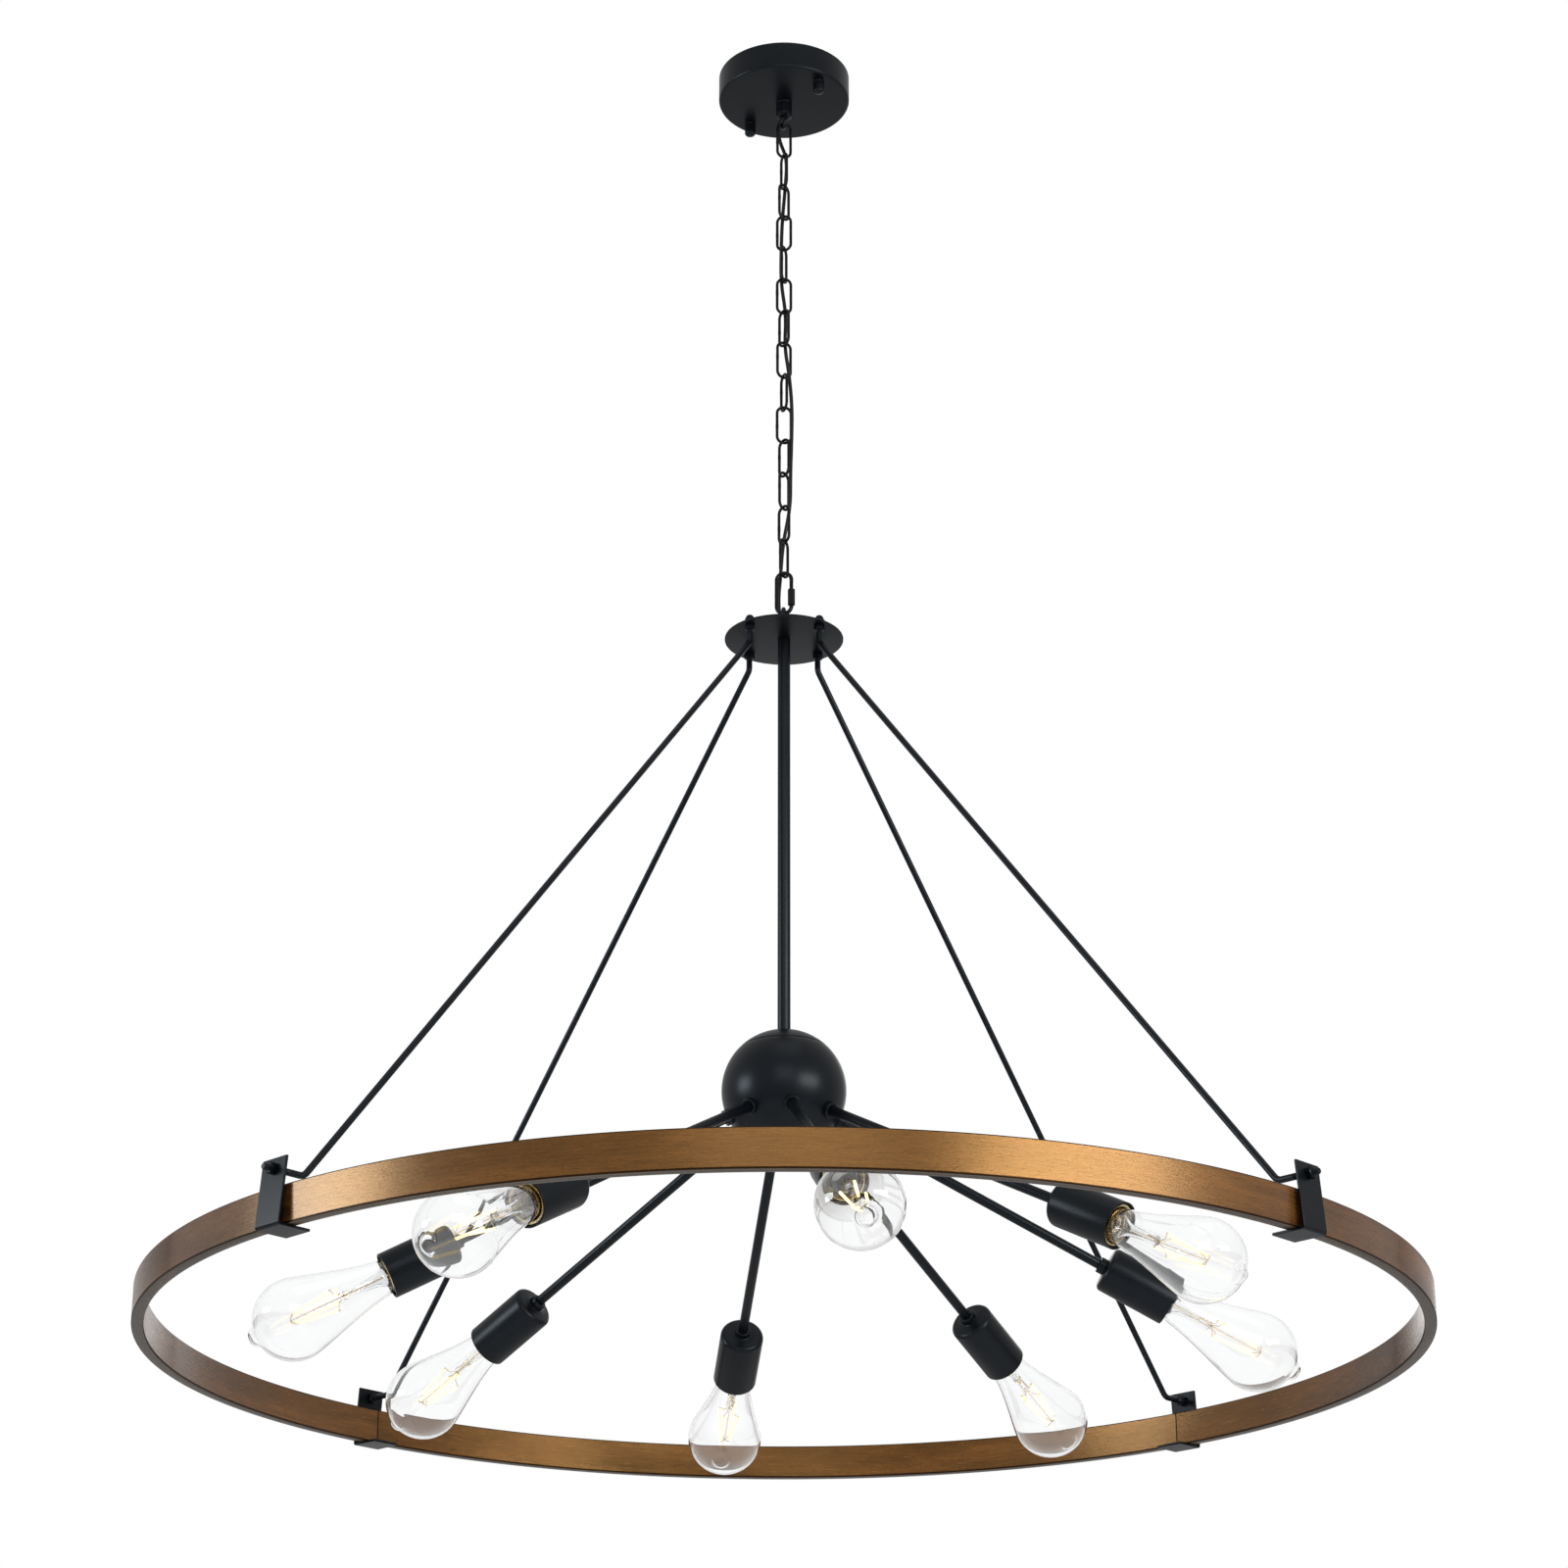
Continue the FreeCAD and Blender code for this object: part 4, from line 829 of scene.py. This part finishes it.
def hoop():
    """Four quarters with butt joints and small bevels at their ends."""
    outline = hoop_section()
    count = len(outline)
    after = outline[1:] + outline[:1]
    lengths = [0.0]
    for here, there in zip(outline, after):
        lengths.append(lengths[-1] + (Vector(there) - Vector(here)).length)
    steps, bevel = 90, 0.4
    middle_r = RING_R - RING_T / 2
    end = math.radians(45 - 0.022)
    turns = [-end] + heights(-end + bevel / RING_R, end - bevel / RING_R, steps - 2) + [end]
    for quarter in range(4):
        spin = math.radians(quarter * 90)
        rings = []
        for step, angle in enumerate(turns):
            inset = bevel if step in (0, steps) else 0.0
            thick, high = 1 - 2 * inset / RING_T, 1 - 2 * inset / RING_H
            rings.append([])
            for reach, height in outline:
                wide = middle_r + (reach - middle_r) * thick
                rings[-1].append((wide * math.sin(angle + spin), -wide * math.cos(angle + spin),
                                  ring_z + height * high))
        points, faces = grid(rings)
        flat = len(faces)
        faces.append(tuple(range(count)))
        faces.append(tuple(steps * count + index for index in range(count - 1, -1, -1)))
        mesh = bpy.data.meshes.new("hoop_quarter_%d" % (quarter + 1))
        mesh.from_pydata([Vector(point) * MM for point in points], [], faces)
        for material in (WOOD, WOOD_EDGE, WOOD_CORNER_SHADE, END_GRAIN):
            mesh.materials.append(material)
        grain = mesh.uv_layers.new(name="grain").data
        start, rise = quarter * 0.83, quarter * 0.21  # no two quarters show the same grain
        for face in mesh.polygons:
            step, place = divmod(face.index, count)
            ends = face.index >= flat
            if not ends:
                level = (Vector(outline[place]) + Vector(after[place])).y / 2
            face.material_index = 3 if ends else wood_index(step, level, steps)
            for loop in face.loop_indices:
                ring, spot = divmod(mesh.loops[loop].vertex_index, count)
                if ends:
                    grain[loop].uv = (start + outline[spot][0] * MM, outline[spot][1] * MM)
                else:
                    run = lengths[count] if spot == 0 and place == count - 1 else lengths[spot]
                    grain[loop].uv = (start + turns[ring] * RING_R * MM, run * MM + rise)
        mesh.update()
        turned_out(mesh)
        piece_of(mesh, "lamp", ["rim_segment_%d" % (quarter + 1)], 30)


# ---------------- arms, sockets and bulbs
def arms():
    """Eight pipes, each with a round collar outside the ball and a nut inside it."""
    length = SOCKET_AT + 3.6 - ARM_ROOT
    bore = ARM_R - 0.8
    pipe = lathe(rounded([(bore, 0), (ARM_R, 0, 0.25), (ARM_R, length, 0.25), (bore, length)], 3), 48)
    ring = lathe(rounded([
        (ARM_BORE, -0.4), (ARM_NUT_R, -0.4), (ARM_NUT_R, ARM_NUT_H, 0.7),
        (ARM_BORE, ARM_NUT_H, 0.25)], 4), 64)
    nut = hexagon(ARM_NUT_R, ARM_NUT_H, ARM_BORE)
    seat = math.sqrt(BALL_R ** 2 - 4.05 ** 2) + 0.05
    inner = math.sqrt((BALL_R - BALL_WALL) ** 2 - ARM_NUT_R ** 2) - ARM_NUT_H
    collars = []
    for index in range(ARMS):
        black("arm_pipe_%d" % (index + 1), moved(pipe, arm_matrix(index, ARM_ROOT)),
              first("arm_tubes", index))
        collars += [moved(ring, arm_matrix(index, seat)), moved(nut, arm_matrix(index, inner))]
    black("arm_collars", joined(*collars), ["arm_nuts"])


def sockets():
    """Cup, threaded brass shell and the holder's core at the end of each arm."""
    neck, inner = 6.5, SOCKET_R - 1.6
    cup = lathe(rounded([
        (ARM_BORE, -6), (neck, -6, 0.8), (neck, -0.6), (7.4, 0), (SOCKET_R, 0, 4.2),
        (SOCKET_R, SOCKET_L, 0.5), (inner, SOCKET_L, 0.5), (inner, 1.6, 2.6), (ARM_BORE, 1.6)], 7), 112)
    outer, bore = 16.4, 13.4
    shell = [(13.45, 54.3), (14.2, 55.6), (15.9, 55.9), (outer, 55.4), (outer, 34.0), (bore, 34.0)]
    shell += [(bore + (0.35 if count % 2 else 0.0), level)
              for count, level in enumerate(heights(35, 53.4, 12))]
    shell = lathe(shell, 72)
    core = lathe(rounded([
        (0.01, 5.6), (outer, 5.6, 1.5), (outer, 33.6), (bore, 33.6), (bore, 32.7), (0.01, 32.7)], 5),
        64, closed=False)
    for index in range(ARMS):
        place = arm_matrix(index, SOCKET_AT)
        black("socket_cup_shell_%d" % (index + 1), moved(cup, place), first("socket_cups", index))
        make("screw_shell_%d" % (index + 1), moved(shell, place), BRASS, "lamp",
             first("lampholders", index))
        make("holder_core_%d" % (index + 1), moved(core, place), PLASTIC, "lamp")


def envelope(radius, neck, base, length, wall):
    """Half outline of the pear-shaped glass: outside from the base to the tip, then back inside."""
    top = length - 5.0
    centre = top - radius
    lean = math.radians(14.7)
    low = Vector((neck, 33.0))
    start = Vector((radius * math.cos(lean), centre - radius * math.sin(lean)))
    slope_low = Vector((0.16, 1.0)).normalized()
    slope_high = Vector((math.sin(lean), math.cos(lean)))
    span = (start - low).length
    outline = [(base, 24.0), (base + 0.15, 25.6), (neck - 1.0, 27.6), (neck - 0.3, 30.4)]
    for t in heights(0, 1, 18):
        a = 2 * t ** 3 - 3 * t ** 2 + 1
        b = t ** 3 - 2 * t ** 2 + t
        c = -2 * t ** 3 + 3 * t ** 2
        d = t ** 3 - t ** 2
        outline.append(tuple(low * a + slope_low * span * b + start * c + slope_high * span * d))
    nose = math.acos(7.2 / radius)
    outline += arc(radius, -lean + 0.06, nose - 0.11, 26, centre)
    outline += [(9.4, top - 1.25), (8.2, top - 0.3), (7.5, top + 0.9), (7.0, top + 2.1), (6.2, top + 3.3),
                (4.9, top + 4.2), (3.1, top + 4.8), (1.5, top + 4.97), (0.0, top + 5.0)]
    inside = []
    for place, (reach, level) in enumerate(outline):
        before = Vector(outline[max(0, place - 1)])
        after = Vector(outline[min(len(outline) - 1, place + 1)])
        along = (after - before).normalized()
        inside.append((max(0.0, reach - wall * along.y), level + wall * along.x))
    inside[-1] = (0.0, top + 5.0 - wall)
    return outline + inside[::-1]


def screw_thread(radius, level, angle):
    """Radius rule for the rolled thread on a bulb's base."""
    if not 5.6 <= level <= 22.6 or radius < 12.0:
        return radius
    return radius - THREAD_WAVE + THREAD_WAVE * math.cos(TAU * level / THREAD_PITCH - angle)


def wires_and_filaments():
    """Support wires of one bulb, and its four upright filaments."""
    thin, top = 0.3, 106.0
    wires = [sweep([(0, 0, 58), (0, 0, 80), (0.3, 0, top)], 0.32, 8)]
    for side in (1, -1):
        lead = ((1.2, 28), (1.3, 44), (1.6, 60), (4.5, 64.5), (9.5, 65))
        wires.append(sweep([(side * reach, 0, level) for reach, level in lead], thin, 8))
    filaments = []
    for stick in range(4):
        angle = math.radians(90 * stick)
        out = Vector((math.cos(angle), math.sin(angle), 0))
        side = Vector((-math.sin(angle), math.cos(angle), 0))
        low = out * 9.3 + Vector((0, 0, 69.0 if stick % 2 else 65.0))
        high = out * 4.8 + side * 1.5 + Vector((0, 0, 102.0 if stick % 2 else 104.0))
        along = (high - low).normalized()
        parts = heights(1.5, (high - low).length - 1.5, 10)
        filaments.append(sweep([low + along * part for part in parts], 1.05, 12))
        wires.append(sweep([low - along * 0.5, low + along * 1.8], 0.45, 8))
        wires.append(sweep([high - along * 1.8, high + along * 0.8, Vector((0.2, 0, top))], thin, 8))
        if stick % 2:
            wires.append(sweep([Vector((0, 0, 60.5)), out * 4 + Vector((0, 0, 67.5)), low], thin, 8))
    return joined(*wires), joined(*filaments)


def bulbs():
    """Eight bulbs: glass, base with its contact, and the lit inside. Outlines count from the contact."""
    glass = lathe(envelope(BULB_R, BULB_NECK_R, BULB_BASE_R, BULB_L, GLASS_T), 112)
    screw = [(11.0, 3.9), (12.2, 4.6)] + [(13.1, level) for level in heights(5.2, 23.0, 40)]
    screw += [(12.9, 24.2), (12.75, 25.0), (11.9, 25.0)]
    insulator = [(4.6, 1.1), (8.0, 2.3), (11.3, 3.6), (11.3, 4.4), (4.6, 4.0)]
    contact = [(0.01, 0.0), (2.6, 0.0), (4.2, 0.35), (4.8, 1.2), (4.8, 2.2), (0.01, 2.2)]
    mount = [(10.5, 25.5), (7.4, 28.0), (5.2, 33.0), (4.1, 40.0), (3.5, 48.0), (3.3, 55.0), (3.8, 58.0),
             (3.4, 60.6), (2.0, 62.0), (0.01, 62.4), (0.01, 52.0), (1.8, 50.0), (2.4, 42.0), (3.4, 34.0),
             (6.2, 28.0), (9.6, 25.5)]
    wires, filaments = wires_and_filaments()
    inside = (
        ("bulb_screw", lathe(screw, 72, screw_thread, closed=False), BRASS, "screw_shell", 60),
        ("bulb_insulator", lathe(insulator, 48), PLASTIC, "holder_plastic", 34),
        ("bulb_contact", lathe(contact, 48, closed=False), SOLDER, "zinc_steel", 34),
        ("bulb_mount", lathe(mount, 40), STEM_GLASS, "bulb_glass", 60),
        ("bulb_wires", wires, NICKEL, "zinc_steel", 60),
        ("bulb_filaments", filaments, LIT, "lit_filament", 60))
    for index in range(ARMS):
        body = "bulb_%d" % (index + 1)
        place = arm_matrix(index, SOCKET_AT + BULB_SEAT)
        make("bulb_glass_%d" % (index + 1), moved(glass, place), GLASS, body, [body], 60)
        for name, part, material, slot, sharp in inside:
            make("%s_%d" % (name, index + 1), moved(part, place @ turn(31 * index)), material, body,
                 sharp=sharp)


def carried_over():
    """The hidden hardware keeps its own solids."""
    for node, material in (("mounting_bar", ZINC), ("mounting_studs", ZINC), ("stud_nuts", ZINC),
                           ("canopy_loop_nut", ZINC), ("stem_nut", ZINC), ("cord_grip", PLASTIC),
                           ("rim_dowels", END_GRAIN)):
        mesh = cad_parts[node].data
        mesh.materials.clear()
        mesh.materials.append(material)


# ---------------- camera, lights and stage
def camera():
    """Below the lamp and in front of it, looking up."""
    data = bpy.data.cameras.new("view")
    data.sensor_width = 36.0
    data.sensor_fit = "HORIZONTAL"
    data.lens = 81.0
    data.clip_end = 60.0
    eye = bpy.data.objects.new("view", data)
    bpy.context.scene.collection.objects.link(eye)
    eye.location = (-42.4 * MM, -2698.3 * MM, -1807.8 * MM)
    rise, swing = math.radians(22.53), math.radians(0.9)
    heading = Vector((math.sin(swing) * math.cos(rise), math.cos(swing) * math.cos(rise), math.sin(rise)))
    eye.rotation_euler = heading.to_track_quat("-Z", "Y").to_euler()
    bpy.context.scene.camera = eye


def softbox(name, towards, distance, width, height, power, colour):
    """A wide lamp that looks at the ball from a direction and a distance. Lengths are in metres."""
    data = bpy.data.lights.new(name, "AREA")
    data.shape = "RECTANGLE"
    data.size = width
    data.size_y = height
    data.energy = power
    data.color = colour
    lamp = bpy.data.objects.new(name, data)
    lamp.visible_transmission = False
    bpy.context.scene.collection.objects.link(lamp)
    aim = Vector((0, 0, ball_z * MM))
    direction = Vector(towards).normalized()
    lamp.location = aim + direction * distance
    lamp.rotation_euler = (-direction).to_track_quat("-Z", "Y").to_euler()


def directly_seen(tree):
    """1 for rays seen straight, through glass or mirrored in gloss; 0 for light on dull surfaces."""
    path = tree.nodes.new("ShaderNodeLightPath")
    seen = path.outputs["Is Camera Ray"]
    for kind in ("Is Transmission Ray", "Is Glossy Ray"):
        most = tree.nodes.new("ShaderNodeMath")
        most.operation = "MAXIMUM"
        tree.links.new(seen, most.inputs[0])
        tree.links.new(path.outputs[kind], most.inputs[1])
        seen = most.outputs["Value"]
    return seen


def surroundings():
    """A white background, which gives less light than it shows."""
    bpy.context.scene.view_settings.view_transform = "Standard"
    world = bpy.data.worlds.new("studio")
    bpy.context.scene.world = world
    world.use_nodes = True
    tree = world.node_tree
    plain = tree.nodes["Background"]
    plain.inputs["Color"].default_value = (0.96, 0.98, 1.0, 1.0)
    plain.inputs["Strength"].default_value = 0.36
    white = tree.nodes.new("ShaderNodeBackground")
    white.inputs["Color"].default_value = (1.0, 1.0, 1.0, 1.0)
    white.inputs["Strength"].default_value = 1.0
    either = tree.nodes.new("ShaderNodeMixShader")
    tree.links.new(directly_seen(tree), either.inputs["Fac"])
    tree.links.new(plain.outputs["Background"], either.inputs[1])
    tree.links.new(white.outputs["Background"], either.inputs[2])
    tree.links.new(either.outputs["Shader"], tree.nodes["World Output"].inputs["Surface"])


def floor():
    """A pale disc far below the lamp, lifted to white where it is seen. Lengths are in metres."""
    reach, level, sides = 30.0, -2.45, 96
    mesh = bpy.data.meshes.new("floor")
    edge = [(reach * math.cos(TAU * side / sides), reach * math.sin(TAU * side / sides), level)
            for side in range(sides)]
    mesh.from_pydata(edge, [], [tuple(range(sides))])
    ground = bpy.data.objects.new("floor", mesh)
    bpy.context.scene.collection.objects.link(ground)
    m = Nodes("pale_floor")
    speckle = m.noise(m.coordinates("Object", (1, 1, 1)), 60.0, 3.0)
    m.link(m.ramp(speckle, [(0.3, (0.86, 0.86, 0.86)), (0.7, (0.89, 0.89, 0.89))]),
           m.shader.inputs["Base Color"])
    m.set(Roughness=0.85, Emission_Color=(1.0, 1.0, 1.0, 1.0))
    lift = m.add("ShaderNodeMath", operation="MULTIPLY")
    lift.inputs[1].default_value = 0.50
    m.link(directly_seen(m.tree), lift.inputs[0])
    m.link(lift.outputs["Value"], m.shader.inputs["Emission Strength"])
    mesh.materials.append(m.material)


def lights():
    """Key from the right, a second from the left, and weaker ones in front, above and behind."""
    softbox("key_right", (0.70, -0.71, 0.11), 2.7, 1.6, 0.8, 64.0, (1.0, 0.98, 0.94))
    softbox("side_left", (-0.97, -0.22, 0.11), 2.7, 1.1, 0.8, 42.0, (0.90, 0.96, 1.0))
    softbox("front", (0.0, -0.96, 0.28), 2.7, 1.4, 1.0, 14.0, (1.0, 1.0, 1.0))
    softbox("from_above", (0.1, -0.35, 1.0), 3.4, 2.0, 2.0, 12.0, (1.0, 1.0, 1.0))
    softbox("behind", (0.2, 1.0, 0.35), 3.2, 1.8, 1.2, 12.0, (1.0, 0.99, 0.97))


canopy()
loops()
chain()
quick_link()
supply_cord()
plate_and_stem()
ball()
tie_rods()
rod_nuts()
brackets()
hoop()
arms()
sockets()
bulbs()
carried_over()
camera()
surroundings()
floor()
lights()
